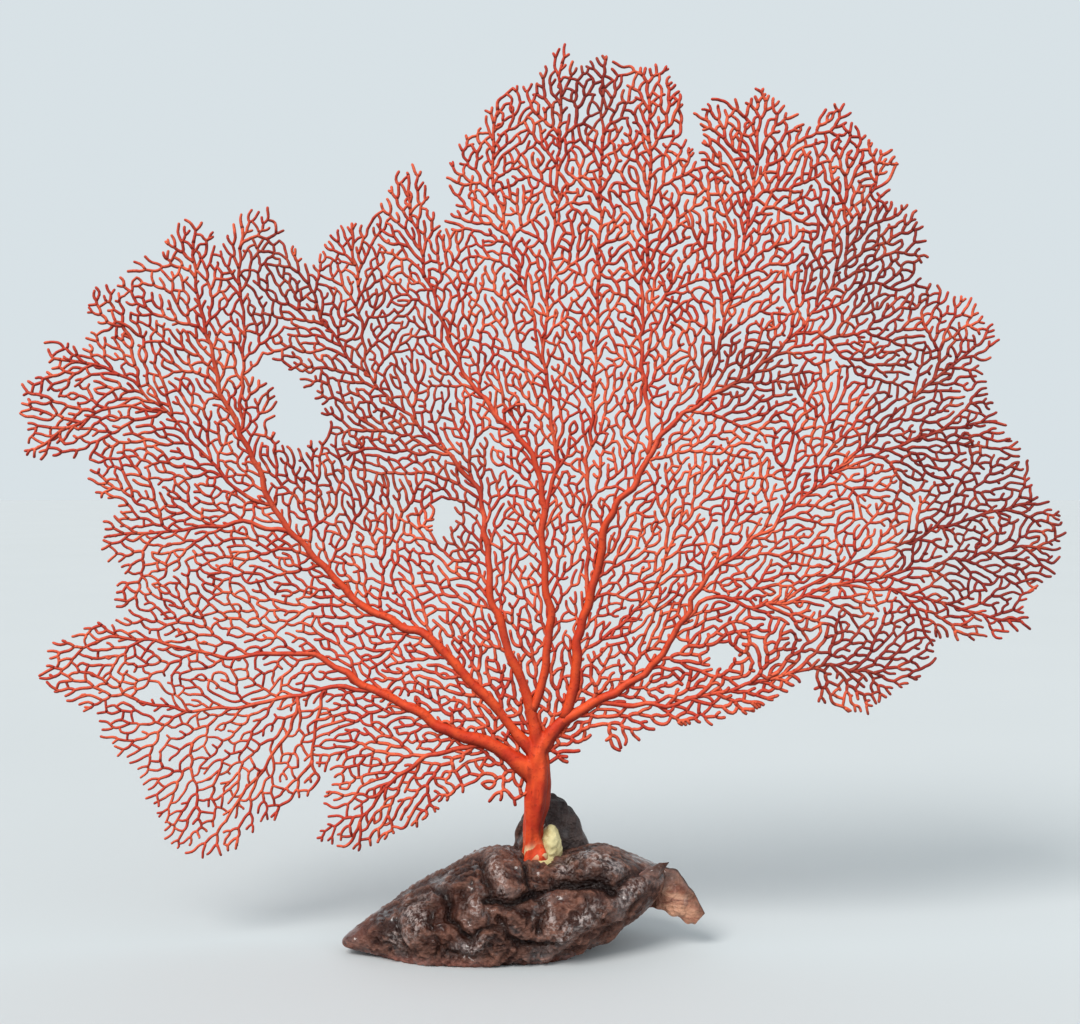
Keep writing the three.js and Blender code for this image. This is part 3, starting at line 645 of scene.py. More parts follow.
class Finish:
    """A node material around one Principled shader."""

    def __init__(self, name, **constants):
        self.material = bpy.data.materials.new(name)
        self.material.use_nodes = True
        self.tree = self.material.node_tree
        self.shader = self.tree.nodes["Principled BSDF"]
        for key, value in constants.items():
            self.shader.inputs[key.replace("_", " ")].default_value = value
        self.place = self.node("ShaderNodeTexCoord", {}, {}, "Object")

    def node(self, kind, settings, inputs, output=0):
        """Adds a node, sets its settings, then its inputs by name or number, and returns one output."""
        node = self.tree.nodes.new(kind)
        for key, value in settings.items():
            setattr(node, key, value)
        for key, value in inputs.items():
            if isinstance(value, Signal):
                self.tree.links.new(value.socket, node.inputs[key])
            else:
                node.inputs[key].default_value = value
        return Signal(self, node.outputs[output])

    def noise(self, scale, detail=4, roughness=0.55, distortion=0.0, place=None):
        """Cloudy noise, about 0 to 1, at the surface's own place or a stretched one."""
        return self.node("ShaderNodeTexNoise", {"noise_dimensions": "3D"},
                         {"Vector": place or self.place, "Scale": scale, "Detail": detail,
                          "Roughness": roughness, "Distortion": distortion})

    def cells(self, scale):
        """The distance to the nearest of scattered points."""
        return self.node("ShaderNodeTexVoronoi", {}, {"Vector": self.place, "Scale": scale}, "Distance")

    def mix(self, share, first, second, kind="MIX"):
        """A colour between two colours."""
        return self.node("ShaderNodeMix", {"data_type": "RGBA", "blend_type": kind},
                         {0: share, 6: first, 7: second}, 2)

    def attribute(self, name):
        """A value that the mesh carries at its points."""
        return self.node("ShaderNodeAttribute", {"attribute_name": name}, {}, "Fac")

    def bump(self, height, strength, distance):
        """A normal tilted as if the surface had this height."""
        return self.node("ShaderNodeBump", {}, {"Height": height, "Strength": strength, "Distance": distance})

    def feed(self, **signals):
        """Links signals to the shader's sockets of those names and returns the finished material."""
        for key, signal in signals.items():
            self.tree.links.new(signal.socket, self.shader.inputs[key.replace("_", " ")])
        return self.material


def paint(red, green, blue):
    """A colour as the eye reads it, 0 to 255, made linear."""
    value = np.array([red, green, blue]) / 255
    linear = np.where(value <= 0.04045, value / 12.92, ((value + 0.055) / 1.055) ** 2.4)
    return (*linear, 1.0)


# Where the lace is painted maroon as shade where the sheet curves back: middle [column, row], half size
# across and up, and how strongly
PAINTED_SHADE_PATCHES = [
    ([1000, 520], [110, 130], 0.8), ([360, 400], [95, 130], 0.45), ([880, 270], [70, 80], 0.75),
    ([750, 375], [60, 40], 0.6), ([590, 92], [45, 45], 0.7), ([880, 650], [90, 50], 0.7),
    ([460, 500], [40, 60], 0.5), ([270, 280], [40, 60], 0.6), ([930, 400], [80, 90], 0.7),
]


def maroon_share(points):
    """How much painted shade, in maroon, the coral has at a point: the strongest of soft patches, with edges
    broken up by a mottle.
    """
    share = np.zeros(len(points))
    broken = 0.45 * mottle(points, 16, 61) + 0.25 * mottle(points, 6, 62)
    for middle, half, strength in PAINTED_SHADE_PATCHES:
        away = (points[:, [0, 2]] - on_sheet([middle])) / (np.array(half) * SQUARE)
        share = np.maximum(share, strength * (1 - smoothstep((away ** 2).sum(1) + broken, 0.1, 1.5)))
    return share


def coral_finish():
    """Dry, fine-grained red coral: orange limbs, redder twigs, maroon patches of painted shade, a deeper
    colour painted as shade on the sides turned from the key light, dark grains, and pale chips where it is
    bare."""
    coral = Finish("dried_coral", Specular_IOR_Level=0.22)
    girth = coral.attribute("girth").between(0.72, 2.2)
    blotch = coral.noise(95, 3).between(0.4, 0.66)
    twig = coral.mix(blotch, paint(196, 60, 40), paint(232, 100, 64))
    # Painted shade: twigs in the listed patches are mixed towards maroon
    twig = coral.mix(coral.attribute("maroon"), twig, paint(112, 28, 25))
    limb = coral.mix(blotch, paint(226, 80, 34), paint(198, 52, 22))
    colour = coral.mix(girth, twig, limb)
    # Painted shade: sides that face away from the key light, up and to the left, are mixed towards deep red
    facing = coral.node("ShaderNodeNewGeometry", {}, {}, "Normal")
    painted_light_way = (-0.35, -0.2, 0.92)
    toward_painted_light = coral.node("ShaderNodeVectorMath", {"operation": "DOT_PRODUCT"}, {0: facing, 1: painted_light_way}, 1)
    colour = coral.mix((1 - toward_painted_light.between(-0.5, 0.6)) * 0.85, colour, paint(92, 16, 12))
    grain = coral.noise(700, 3)
    colour = coral.mix(grain.between(0.56, 0.7) * 0.5, colour, paint(126, 28, 16))
    colour = coral.mix(coral.attribute("chip"), colour, paint(222, 196, 150))
    normal = coral.bump(grain, 0.6, 0.0005)
    return coral.feed(Base_Color=colour, Roughness=0.38 + 0.3 * grain, Normal=normal)


def wood_finish():
    """Dark driftwood under varnish: a painted highlight in lighter brown on its ridges and painted shade,
    nearly black, in its creases, with pinkish hems, pale painted highlights and specks of gloss."""
    wood = Finish("varnished_driftwood", Coat_Roughness=0.12, Specular_IOR_Level=0.22)
    stretch = wood.node("ShaderNodeMapping", {}, {"Vector": wood.place, "Rotation": (0.0, 0.25, 0.1),
                                                  "Scale": (0.5, 1.0, 1.2)})
    broad = wood.noise(45, 4, 0.6, 0.4).between(0.36, 0.66)
    streak = wood.noise(130, 5, 0.62, 1.2, stretch).between(0.36, 0.66)
    wrinkle = wood.noise(260, 5, 0.62, 1.0, stretch)
    # Painted highlight: raised ridges and wrinkles are mixed lighter brown
    painted_ridge_highlight = wood.attribute("ridge") * 0.75 + wrinkle.between(0.42, 0.66) * 0.5 - 0.15
    colour = wood.mix(broad, paint(38, 15, 9), paint(66, 34, 24))
    colour = wood.mix(painted_ridge_highlight * (0.5 + 0.5 * streak), colour, paint(138, 94, 78))
    # Painted highlights: pale specks mixed in over the listed highlight patches
    speck = wood.noise(520, 4, 0.7).between(0.44, 0.62)
    colour = wood.mix(wood.attribute("painted_highlight") * speck * 0.85, colour, paint(200, 182, 176))
    # Painted shade: the creases are mixed nearly black, together with the leaf's dark upper rim
    colour = wood.mix(wood.attribute("crease_shade_and_rim"), colour, paint(22, 10, 8))
    pink = wood.mix(streak, paint(168, 108, 94), paint(96, 52, 44))
    colour = wood.mix(wood.attribute("hem") * 0.75, colour, pink)
    grey = wood.attribute("grey")
    colour = wood.mix(grey, colour, wood.mix(broad, paint(54, 46, 46), paint(92, 82, 80)))
    pale = wood.mix(streak, paint(198, 146, 118), paint(140, 84, 66))
    colour = wood.mix(wood.attribute("amber"), colour, pale)
    pimple = wood.cells(640)
    height = wrinkle * 0.8 + pimple * 0.45
    normal = wood.bump(height, 1.0, 0.002)
    rough = 0.24 + 0.34 * wood.noise(190, 3) + grey * 0.3
    coat = (1 - grey * 0.8) * wood.noise(110, 4).between(0.48, 0.62) * (1 - wood.attribute("crease_shade_and_rim"))
    return wood.feed(Base_Color=colour, Roughness=rough, Coat_Weight=coat, Normal=normal)


def putty_finish():
    """Set putty, pale cream with a green cast, rough, with chalky chips."""
    putty = Finish("set_putty", Specular_IOR_Level=0.4)
    cloud = putty.noise(130, 4).between(0.35, 0.65)
    colour = putty.mix(cloud, paint(176, 158, 104), paint(216, 202, 150))
    colour = putty.mix(putty.noise(420, 3).between(0.6, 0.75) * 0.6, colour, paint(236, 226, 190))
    pit = 1 - putty.cells(380).between(0.0, 0.12)
    colour = putty.mix(pit, colour, paint(120, 96, 60), "MULTIPLY")
    normal = putty.bump(putty.noise(500, 5), 0.6, 0.0008)
    return putty.feed(Base_Color=colour, Roughness=0.45 + 0.3 * cloud, Normal=normal)


def floor_finish():
    """A plain pale matte floor, very faintly clouded."""
    floor = Finish("pale_floor", Roughness=0.7, Specular_IOR_Level=0.2)
    cloud = floor.noise(3, 2)
    return floor.feed(Base_Color=floor.mix(cloud, paint(196, 199, 200), paint(200, 203, 204)))


def stem_surface():
    """The trunk: rings along its drawn course, each radius fluted by waves around that twist slowly as they
    rise, with toes that spread at the foot."""
    course = np.array(STEM, float)
    centre = on_sheet(course[:, :2])
    along = np.concatenate([[0], np.cumsum(np.hypot(*np.diff(centre, axis=0).T))])
    rows, sides = 120, 60
    want = np.linspace(0, along[-1], rows)
    x, z, radius = (np.interp(want, along, values) for values in (*centre.T, course[:, 2]))
    kernel = np.hanning(15) / np.hanning(15).sum()
    x, radius = (np.convolve(np.pad(v, 7, "edge"), kernel, "valid") for v in (x, radius))
    turn, level = np.meshgrid(2 * np.pi * np.arange(sides) / sides, want)
    flute = 0.07 * np.sin(5 * turn + level / 30) + 0.05 * np.sin(3 * turn - level / 22 + 1)
    toes = 0.3 * np.exp(-level / 3.5) * np.sin(5 * turn + 0.7)
    reach = radius[:, None] * (1 + flute + toes)
    rise = np.repeat(z[:, None], sides, 1)
    grid = np.stack([x[:, None] + reach * np.cos(turn), reach * np.sin(turn), rise], -1)
    poles = np.array([[x[0], 0, z[0] - 0.4], [x[-1], 0, z[-1] + 0.8]])
    quads, triangles = closed_grid(rows, sides)
    return np.concatenate([grid.reshape(-1, 3), poles]), quads, triangles


def fill_mesh(mesh, points, quads, triangles):
    """Puts arrays of points in millimetres and of faces into a mesh."""
    mesh.vertices.add(len(points))
    mesh.vertices.foreach_set("co", (points * MM).astype(np.float32).ravel())
    corners = np.concatenate([quads.ravel(), triangles.ravel()])
    sizes = np.concatenate([np.full(len(quads), 4), np.full(len(triangles), 3)])
    mesh.loops.add(len(corners))
    mesh.loops.foreach_set("vertex_index", corners.astype(np.int32))
    mesh.polygons.add(len(sizes))
    mesh.polygons.foreach_set("loop_start", (np.cumsum(sizes) - sizes).astype(np.int32))
    mesh.polygons.foreach_set("use_smooth", np.ones(len(sizes), bool))
    mesh.update(calc_edges=True)
    mesh.validate()


def grown_together(points, quads, triangles, grain, rounds):
    """One skin over overlapping closed surfaces, remeshed in small cubes, then eased: in each round a point
    moves half way to the mean of its neighbours."""
    mesh = bpy.data.meshes.new("core")
    fill_mesh(mesh, points, quads, triangles)
    core = bpy.data.objects.new("core", mesh)
    bpy.context.collection.objects.link(core)
    remesh = core.modifiers.new("skin", "REMESH")
    remesh.mode, remesh.voxel_size = "VOXEL", grain * MM
    skin = core.evaluated_get(bpy.context.evaluated_depsgraph_get()).to_mesh()
    place = np.empty(3 * len(skin.vertices), np.float32)
    skin.vertices.foreach_get("co", place)
    corners = np.empty(len(skin.loops), np.int32)
    skin.loops.foreach_get("vertex_index", corners)
    place, quads = place.reshape(-1, 3).astype(float) / MM, corners.reshape(-1, 4)
    bpy.data.objects.remove(core)
    bpy.data.meshes.remove(mesh)
    ends = np.concatenate([quads, np.roll(quads, 1, 1)]).ravel()
    others = np.concatenate([np.roll(quads, -1, 1), quads]).ravel()
    count = np.bincount(ends, minlength=len(place))[:, None]
    for _ in range(rounds):
        mean = summed(ends, place[others], len(place)) / count
        place += 0.5 * (mean - place)
    return place, quads


def outward(points, quads):
    """Unit vectors out of a surface at its points: the crossed diagonals of the faces around each, summed."""
    a, b, c, d = (points[quads[:, k]] for k in range(4))
    cross = np.cross(c - a, d - b)
    return unit(summed(quads.ravel(), np.repeat(cross, 4, 0), len(points)))


def trunk_surface(points, parent, radius, links, straight):
    """The stem and the stubs of the limbs on it, grown together, with fine grooves along the stem and chips
    at its foot. Returns points, quads and the share of bare pale core."""
    stem, stem_quads, stem_triangles = stem_surface()
    stubs, stub_quads, _, _ = branch_tubes(points, parent, radius, links, straight, 16, 1, 0 * parent)
    quads = np.concatenate([stem_quads, stub_quads + len(stem)])
    place, quads = grown_together(np.concatenate([stem, stubs]), quads, stem_triangles, 0.42, 8)
    groove = 0.24 * mottle(place * [1, 1, 0.12], 2.6, 71) + 0.24 * mottle(place * [1, 1, 0.4], 7, 72)
    groove *= 1 - smoothstep(np.hypot(place[:, 0], np.maximum(place[:, 2] - 78, 0)), 5, 10)
    place += groove[:, None] * outward(place, quads)
    chip = bell(place[:, 2], 38.5, 2.4) * (mottle(place, 5, 73) > 0.2) * (place[:, 1] < 2)
    return place, quads, chip


def grow_coral(finish):
    """Grows the lace, lays tubes along every link and makes one piece for each limb."""
    growth = Growth()
    growth.grow()
    points, parent, radius, owner = growth.points(), growth.parent, growth.radii(), growth.owner
    radius *= 1 + 0.05 * mottle(points, 5, 7) + 0.05 * mottle(points, 14, 8)
    number = np.arange(len(points))
    linked = np.flatnonzero(parent >= 0)
    on_limb = number < growth.limbs
    heir = np.full(len(points), -1)
    heir[parent[linked[::-1]]] = linked[::-1]
    straight = (heir[parent] == number) & (on_limb == on_limb[parent]) & (parent[parent] >= 0)
    roots = np.flatnonzero(parent[:growth.limbs] < 0)
    root = roots[np.searchsorted(roots, number[:growth.limbs], "right") - 1]
    rank = number[:growth.limbs] - root
    limb_links = linked[(linked < growth.limbs) & (linked >= roots[1])]
    twig_links = linked[linked >= growth.limbs]
    stub = limb_links[(owner[root[limb_links]] == 0) & (rank[limb_links] < CUT_STEPS + 3)]
    stub_radius = radius.copy()
    stub_radius[:growth.limbs] += np.interp(rank, [0, CUT_STEPS - 1, CUT_STEPS + 2], [0.4, 0.42, -0.7])
    trunk, trunk_quads, chip = trunk_surface(points, parent, stub_radius, stub, straight[stub])
    limb_links = limb_links[owner[limb_links] > 0]
    parts = [
        branch_tubes(points, parent, radius, limb_links, straight[limb_links], 12, 1, owner),
        branch_tubes(points, parent, radius, twig_links, straight[twig_links], 6, 1.2, owner),
    ]
    for k, name in enumerate(LIMB_NAMES):
        places, faces, girths, shift = [], [], [], 0
        for vertices, quads, girth, whose in parts:
            used, mine = np.unique(quads[whose == k], return_inverse=True)
            places.append(vertices[used])
            girths.append(girth[used])
            faces.append(mine.reshape(-1, 4) + shift)
            shift += len(used)
        chips = np.zeros(shift)
        if name == "trunk":
            places.append(trunk)
            girths.append(np.full(len(trunk), 4.0))
            faces.append(trunk_quads + shift)
            chips = np.concatenate([chips, chip])
        places = np.concatenate(places)
        make_piece(name + "_lace", places, np.concatenate(faces), NO_TRIANGLES, finish, "coral", [name],
                   girth=np.concatenate(girths), maroon=maroon_share(places), chip=chips)


def ball_grid(rows, columns, gather=0.0):
    """A unit ball drawn along X: rows from the left pole to the right one, and columns around, gathered in
    front by adding a share of the angle's sine to it."""
    share = (np.arange(rows) + 1) / (rows + 1)
    turn, level = np.meshgrid(2 * np.pi * np.arange(columns) / columns, np.pi * share)
    turn = turn + gather * np.sin(turn)
    grid = np.stack([-np.cos(level), np.sin(level) * np.cos(turn), np.sin(level) * np.sin(turn)], -1)
    return np.concatenate([grid.reshape(-1, 3), [[-1, 0, 0], [1, 0, 0]]])


# Creases pressed into the front of the base, drawn on the sheet: course, depth and half width
CREASES = [
    ([[486, 899], [504, 903], [521, 899], [534, 891]], 4, 1.7),
    ([[534, 891], [546, 885], [566, 882], [589, 880], [606, 887], [614, 893]], 5.5, 2.4),
    ([[517, 858], [523, 870], [527, 884], [531, 892]], 3.4, 1.6),
    ([[479, 860], [486, 876], [490, 893], [487, 899]], 2.6, 1.3),
    ([[405, 889], [425, 880], [450, 869], [470, 862]], 1.7, 1),
    ([[412, 897], [430, 889], [455, 877], [478, 868]], 1.6, 1),
    ([[398, 905], [420, 899], [440, 888]], 1.6, 1),
    ([[436, 888], [444, 893], [450, 905], [452, 922], [460, 933], [470, 936]], 3.6, 1.8),
    ([[470, 936], [490, 930], [503, 926]], 2, 1.5),
    ([[500, 922], [508, 938], [522, 947], [546, 946], [556, 941]], 2.8, 1.6),
    ([[366, 921], [368, 932], [376, 942], [394, 950], [402, 958]], 1.4, 0.9),
    ([[373, 917], [377, 930], [387, 940], [402, 948]], 1.3, 0.9),
    ([[381, 911], [385, 926], [396, 939], [406, 950]], 1.3, 0.9),
    ([[400, 903], [398, 920], [404, 938], [412, 952]], 1.8, 1.1),
    ([[430, 905], [432, 925], [440, 945], [436, 956]], 1.8, 1.2),
    ([[591, 942], [611, 930], [626, 916], [641, 899], [652, 886]], 1.8, 1.1),
    ([[614, 893], [622, 882], [632, 874], [640, 871]], 2.8, 1.5),
    ([[543, 897], [545, 912], [541, 930]], 1.8, 1.3),
    ([[560, 855], [566, 868], [563, 880]], 1.4, 1),
    ([[578, 856], [584, 870], [580, 880]], 1.4, 1),
    ([[600, 856], [606, 868], [604, 880]], 1.4, 1),
    ([[585, 895], [590, 908], [602, 924]], 1.2, 1.1),
    ([[462, 893], [468, 906], [464, 920]], 1.3, 1.1),
    ([[488, 906], [492, 918], [486, 930]], 1.3, 1.1),
    ([[446, 944], [452, 954], [470, 958], [490, 955]], 1.5, 1.1),
    ([[520, 905], [526, 918], [522, 932]], 1.1, 1.1),
]
# Swellings and hollows on the front, drawn on the sheet: middle, half size along and across, turn, height
SWELLINGS = [
    ([506, 874], [29, 15], 108, 4.2), ([415, 919], [17, 11], 80, 2.8), ([474, 906], [13, 10], 60, 2.6),
    ([470, 946], [17, 8], 15, 2.4), ([575, 917], [36, 17], 35, 4.2), ([595, 866], [27, 11], -12, 2.6),
    ([455, 882], [30, 9], 32, 1.8), ([447, 867], [24, 5], 20, 1.5), ([520, 922], [20, 14], 0, 1.2),
    ([629, 894], [24, 11], 40, 2), ([539, 877], [13, 10], 0, -4.5), ([385, 933], [13, 9], -30, 1.4),
]
# Painted highlights, pale patches where the varnish shines, drawn on the sheet: middle, half size along and
# across, turn
PAINTED_HIGHLIGHTS = [
    ([497, 874], [27, 6], 108), ([415, 918], [15, 11], 80), ([474, 905], [10, 8], 60),
    ([470, 946], [15, 7], 15), ([588, 914], [12, 9], 30), ([562, 933], [23, 8], 35),
    ([549, 912], [17, 4], 100), ([598, 862], [23, 9], -15), ([564, 868], [11, 7], 60),
    ([397, 940], [11, 9], -40), ([630, 893], [18, 7], 40), ([434, 890], [16, 5], 30),
]
# The side of a square seen on the base's front, which stands nearer, and from where the sheet is seen
FRONT_SQUARE = 0.4
EYE_HEIGHT = 193.7
EYE_DISTANCE = 600
EYE_ROW = 480


def on_front(squares):
    """Squares of the sheet on the base's front, which stands nearer: [x, z] in millimetres."""
    squares = np.asarray(squares, float)
    across, down = (squares - [SHEET_COLUMN, EYE_ROW]).T * FRONT_SQUARE
    return np.stack([across, EYE_HEIGHT - down], 1)


def crease_depth(places):
    """The deepest crease at plane places: each falls off as a bell with the distance to its course."""
    total = np.zeros(len(places))
    for course, depth, width in CREASES:
        line = on_front(course)
        nearest = np.full(len(places), np.inf)
        for start, stop in zip(line[:-1], line[1:]):
            run = stop - start
            share = np.clip((places - start) @ run / (run @ run), 0, 1)
            nearest = np.minimum(nearest, np.hypot(*(places - start - share[:, None] * run).T))
        total = np.maximum(total, depth * np.exp(-(nearest / width) ** 2))
    return total


def turned_bells(places, patches, power):
    """The sum of bells along and across turned axes at plane places: each falls off as an exponential of
    minus the squared distance to a power."""
    total = np.zeros(len(places))
    for middle, half, turn, height in patches:
        away = turned(places - on_front([middle]), -np.radians(turn))
        away /= np.array(half) * FRONT_SQUARE
        total += height * np.exp(-(away ** 2).sum(1) ** power)
    return total


def log_surface():
    """The driftwood log: a ball drawn out along X, pinched and swung forward to the left, boxier below its
    middle, with two crests on top, swellings and creases in front, wrinkles all over, flat underneath."""
    rows, columns = 330, 196
    x, y, z = ball_grid(rows, columns, 0.45).T
    girth = np.sqrt(np.maximum(1 - x ** 2, 1e-9))
    below = smoothstep(-z / girth, 0, 0.5)
    square = np.sign(y) * girth * np.abs(y / girth) ** 0.45
    y = y + below * (square - y)
    leftward, rightward = np.clip(-x, 0, 1), np.clip(x, 0, 1)
    draw = (1 - 0.25 * leftward ** 2) * (1 - 0.38 * smoothstep(leftward, 0.45, 1))
    px = -14 + 67 * x
    py = -1 + 34 * y * draw - 14 * leftward ** 2
    crest = 4.6 * bell(px, -20, 14) + 5 * bell(px, 28, 13)
    pz = 14 + 20.5 * z * draw * (1 - 0.22 * rightward ** 2) + 6 * x - 3 * leftward ** 2 + 8 * rightward ** 2
    pz += crest * smoothstep(z, 0.1, 1) - 0.8 * bell(px, 0, 9) * bell(py, -6, 8) * smoothstep(z, 0, 1)
    front = smoothstep(-y, -0.2, 0.35)
    shrink = FRONT_SQUARE / (SQUARE * (1 + py / EYE_DISTANCE))
    seen = np.stack([px, pz - EYE_HEIGHT], 1) * shrink[:, None]
    seen[:, 1] += EYE_HEIGHT
    seen += 0.8 * np.stack([mottle(seen, 12, 24), mottle(seen, 12, 25)], 1)
    crease = crease_depth(seen)
    push = front * (turned_bells(seen, SWELLINGS, 2) - crease)
    place = np.stack([px, py + push * y, pz + push * z], 1)
    out = np.stack([0.3 * x, y, z], 1)
    coarse = np.minimum(np.abs(mottle(place * [0.6, 1, 1.1], 15, 21)), 1.2)
    fine = np.minimum(np.abs(mottle(place * [0.7, 1, 1.1], 6, 22)), 1.2)
    wrinkle = 1 - 1.1 * coarse - 0.7 * fine + 0.3 * mottle(place, 2.8, 23)
    place += wrinkle[:, None] * out * girth[:, None]
    hem = bell(place[:, 2], 1.2, 1.6) * (y < 0.2) * smoothstep(mottle(place, 24, 26), -1, 0.8)
    hem = np.maximum(hem, 0.5 * bell(place[:, 0], -80, 10))
    place[:, 1] -= 0.8 * bell(place[:, 2], 2, 2.4) * (y < 0.2)
    place[:, 2] = np.maximum(place[:, 2], 0)
    # Painted shade in the creases, growing with their depth
    crease_shade_and_rim = np.clip(0.24 * front * crease, 0, 0.9)
    # Painted highlight on the raised wrinkles, kept out of the creases
    ridge = smoothstep(wrinkle, -0.6, 0.9) * (1 - crease_shade_and_rim)
    # Painted highlights in the listed patches on the front, kept out of the creases
    painted_highlight = front * np.clip(turned_bells(seen, [(*patch, 1) for patch in PAINTED_HIGHLIGHTS], 1), 0, 1) * (1 - crease_shade_and_rim)
    quads, triangles = closed_grid(rows, columns)
    return place, quads, triangles, {"hem": hem, "crease_shade_and_rim": crease_shade_and_rim, "ridge": ridge, "painted_highlight": painted_highlight}


def knob_surface():
    """The root stub behind the trunk: a ball with lengthwise ridges, drawn in towards its top."""
    rows, columns = 90, 80
    ball = ball_grid(rows, columns)[:, [1, 2, 0]]
    ridge = 1 + 0.05 * mottle(ball * [1, 1, 0.3], 0.7, 31) + 0.03 * mottle(ball, 0.35, 32)
    place = ball * ridge[:, None] * [14, 10.5, 19] + [3, 22, 37]
    spread = 5 * smoothstep(place[:, 0], 2, 12) * smoothstep(-place[:, 2], -46, -30)
    place[:, 0] += 0.12 * (place[:, 2] - 37) + spread
    place[:, 2] = np.maximum(place[:, 2], 4)
    quads, triangles = closed_grid(rows, columns)
    grey = smoothstep(place[:, 0], -4, 6) * 0.9
    # The ridge value carries the painted highlight on the knob's raised ridges
    return place, quads, triangles, {"grey": grey, "ridge": smoothstep(ridge, 0.92, 1.08)}


# Thin sheets at the right end, each by its upper and its lower edge from root to tip, [x, y, z]
LEAF_EDGES = (
    [[38, 2, 28], [46, 0, 30], [53, -2, 33], [59, -3, 29], [65, -5, 20], [68.5, -7, 14]],
    [[38, -2, 14], [44, -4, 15.5], [49, -6, 15.5], [55, -7, 13.5], [60, -7, 10.5], [64, -7, 9.5]],
)
LIP_EDGES = (
    [[20, -18, 4], [29, -17, 5], [36.5, -16, 13.5], [44.5, -13, 23.5], [50, -10, 31], [53.5, -8, 35]],
    [[12, -22, 8], [17, -23, 14], [25, -22, 21], [33, -17, 27], [41, -12, 32], [49, -8, 35]],
)


def along_course(course, share):
    """Points along a rounded bent line at shares of its length."""
    line = rounded(np.asarray(course, float))
    length = np.concatenate([[0], np.cumsum(np.linalg.norm(np.diff(line, axis=0), axis=1))])
    return np.stack([np.interp(share * length[-1], length, line[:, k]) for k in range(3)], 1)


def sheet_surface(edges, thickness, bow, amber_from):
    """A thin sheet stretched between two edges: the middle line plus a cosine across and a sine through,
    bowed between its edges, rippled by a mottle and rounded at its rim."""
    rows, columns = 90, 90
    share = np.linspace(0, 1, rows)
    upper, lower = along_course(edges[0], share), along_course(edges[1], share)
    turn = 2 * np.pi * np.arange(columns) / columns
    across, through = np.cos(turn)[None, :, None], np.sin(turn)[None, :, None]
    middle, half = (upper + lower)[:, None] / 2, (upper - lower)[:, None] / 2
    run = np.gradient((upper + lower) / 2, axis=0)
    face = unit(np.cross(run, upper - lower))[:, None]
    reach = np.linalg.norm(half, axis=2, keepdims=True)
    bulge = thickness * through + bow * reach * (1 - across ** 2)
    place = (middle + half * across + face * bulge).reshape(-1, 3)
    ripple = 0.6 * mottle(place, 8, 41)[:, None] * [0.2, 1, 0.5]
    place += ripple + 0.25 * mottle(place, 3, 42)[:, None] * [0, 1, 0.3]
    poles = np.stack([(upper[0] + lower[0]) / 2, (upper[-1] + lower[-1]) / 2])
    quads, triangles = closed_grid(rows, columns)
    side = np.concatenate([np.broadcast_to(across, (rows, columns, 1)).ravel(), [0, 0]])
    far = np.concatenate([np.repeat(share, columns), [0, 1]])
    amber = smoothstep(far, amber_from, amber_from + 0.3) * (0.35 + 0.65 * smoothstep(-side, -0.7, 0.2))
    rim = smoothstep(-side, 0.9, 1)
    dark = 0.8 * smoothstep(side, 0.86, 0.98)
    marks = {"hem": rim, "amber": amber * (1 - dark), "crease_shade_and_rim": dark, "ridge": np.full(len(dark), 0.6)}
    return np.concatenate([place, poles]), quads, triangles, marks


def make_base(finish):
    """The log, the root stub, the leaf and the lip in one piece."""
    parts = [log_surface(), knob_surface(), sheet_surface(LEAF_EDGES, 0.8, 0.35, 0.3),
             sheet_surface(LIP_EDGES, 1.1, -0.25, 2)]
    starts = np.cumsum([0] + [len(part[0]) for part in parts])
    quads = np.concatenate([part[1] + start for part, start in zip(parts, starts)])
    triangles = np.concatenate([part[2] + start for part, start in zip(parts, starts)])
    points = np.concatenate([part[0] for part in parts])
    marks = {}
    for key in ("hem", "grey", "amber", "crease_shade_and_rim", "ridge", "painted_highlight"):
        marks[key] = np.concatenate([part[3].get(key, np.zeros(len(part[0]))) for part in parts])
    make_piece("driftwood", points, quads, triangles, finish, "varnished_driftwood", ["driftwood_base"],
               **marks)


def make_putty(finish):
    """Putty under the trunk's foot and beside it: two dented balls grown together."""
    rows, columns = 60, 60
    ball = ball_grid(rows, columns)
    lump = (1 + 0.09 * mottle(ball, 1.4, 51) + 0.03 * mottle(ball, 0.5, 52))[:, None]
    under = ball * lump * [8.2, 8, 4] + [0.6, -0.4, 33]
    beside = ball * lump * [4.8, 6, 9.4] + [4.6, 2, 38.8]
    quads, triangles = closed_grid(rows, columns)
    quads, triangles = (np.concatenate([faces, faces + len(ball)]) for faces in (quads, triangles))
    place, quads = grown_together(np.concatenate([under, beside]), quads, triangles, 0.42, 5)
    place += 0.14 * mottle(place, 3, 53)[:, None] * outward(place, quads)
    make_piece("putty_lump", place, quads, NO_TRIANGLES, finish, "putty", ["putty"])


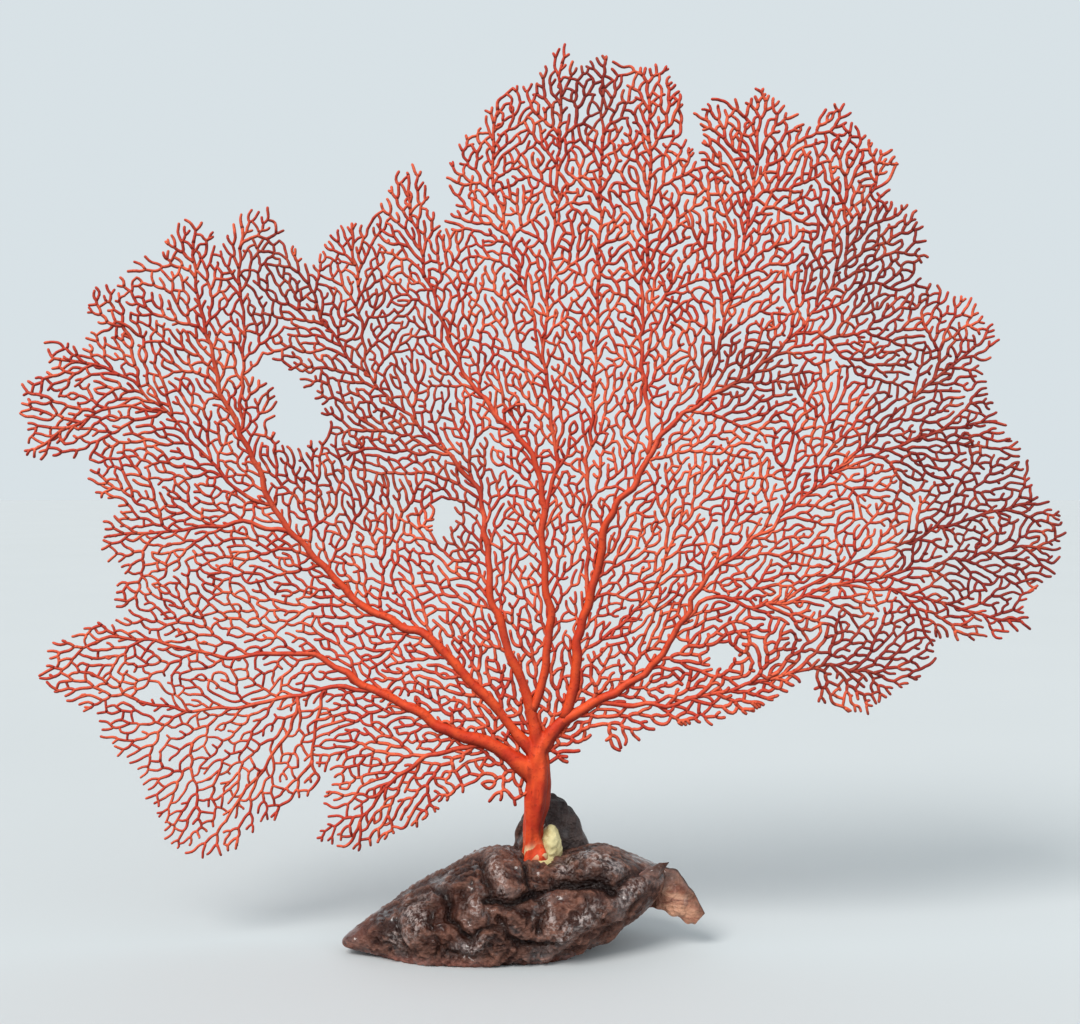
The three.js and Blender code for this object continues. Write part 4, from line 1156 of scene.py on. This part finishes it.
def make_floor(finish):
    """A wide level disc under the object: rings about its middle, closed there."""
    rings_out, sides = (0.5, 2, 6, 14), 96
    k = np.arange(sides)
    turn = 2 * np.pi * k / sides
    reach = np.array(rings_out)[:, None]
    disc = np.stack([reach * np.cos(turn), reach * np.sin(turn), 0 * reach * turn], -1).reshape(-1, 3)
    quads, _ = closed_grid(len(rings_out), sides)
    centre = np.stack([np.full(sides, len(disc)), k, (k + 1) % sides], 1)
    points = np.concatenate([disc, [[0, 0, 0]]])
    mesh = bpy.data.meshes.new("floor")
    mesh.from_pydata(points.tolist(), [], quads[:, ::-1].tolist() + centre.tolist())
    mesh.update()
    mesh.materials.append(finish)
    floor = bpy.data.objects.new("floor", mesh)
    bpy.context.collection.objects.link(floor)


def make_light(name, kind, place, power, colour, **settings):
    """A lamp at a place, turned to the middle of the fan."""
    lamp = bpy.data.lights.new(name, kind)
    lamp.energy, lamp.color = power, colour
    for key, value in settings.items():
        setattr(lamp, key, value)
    light = bpy.data.objects.new(name, lamp)
    light.location = place
    light.rotation_euler = (Vector((0, 0, 0.15)) - Vector(place)).to_track_quat("-Z", "Y").to_euler()
    bpy.context.collection.objects.link(light)


def make_lights():
    """One broad soft light from high on the left, a weak fill from the right, and a pale room all round."""
    world = bpy.data.worlds.new("pale_room")
    world.use_nodes = True
    room = world.node_tree.nodes["Background"]
    room.inputs["Color"].default_value = (0.80, 0.88, 0.92, 1)
    room.inputs["Strength"].default_value = 0.86
    bpy.context.scene.world = world
    bpy.context.scene.view_settings.view_transform = "Standard"
    make_light("key", "SUN", (-0.7, -0.9, 1.4), 2.3, (1, 0.98, 0.95), angle=0.5)
    make_light("fill", "AREA", (1.3, -1.0, 0.6), 4, (0.94, 0.97, 1), size=0.9)


def make_camera():
    """Level with the middle of the fan, in front of it; the drawn sheet's horizon is its row 480."""
    lens = bpy.data.cameras.new("camera")
    lens.sensor_fit = "HORIZONTAL"
    lens.sensor_width = 36
    lens.lens = 36 * 1429 / 1080
    lens.shift_y = -32 / 1080
    camera = bpy.data.objects.new("camera", lens)
    camera.location = (0, -EYE_DISTANCE * MM, EYE_HEIGHT * MM)
    camera.rotation_euler = (np.pi / 2, 0, 0)
    bpy.context.collection.objects.link(camera)
    bpy.context.scene.camera = camera


make_camera()
make_lights()
make_floor(floor_finish())
grow_coral(coral_finish())
make_base(wood_finish())
make_putty(putty_finish())
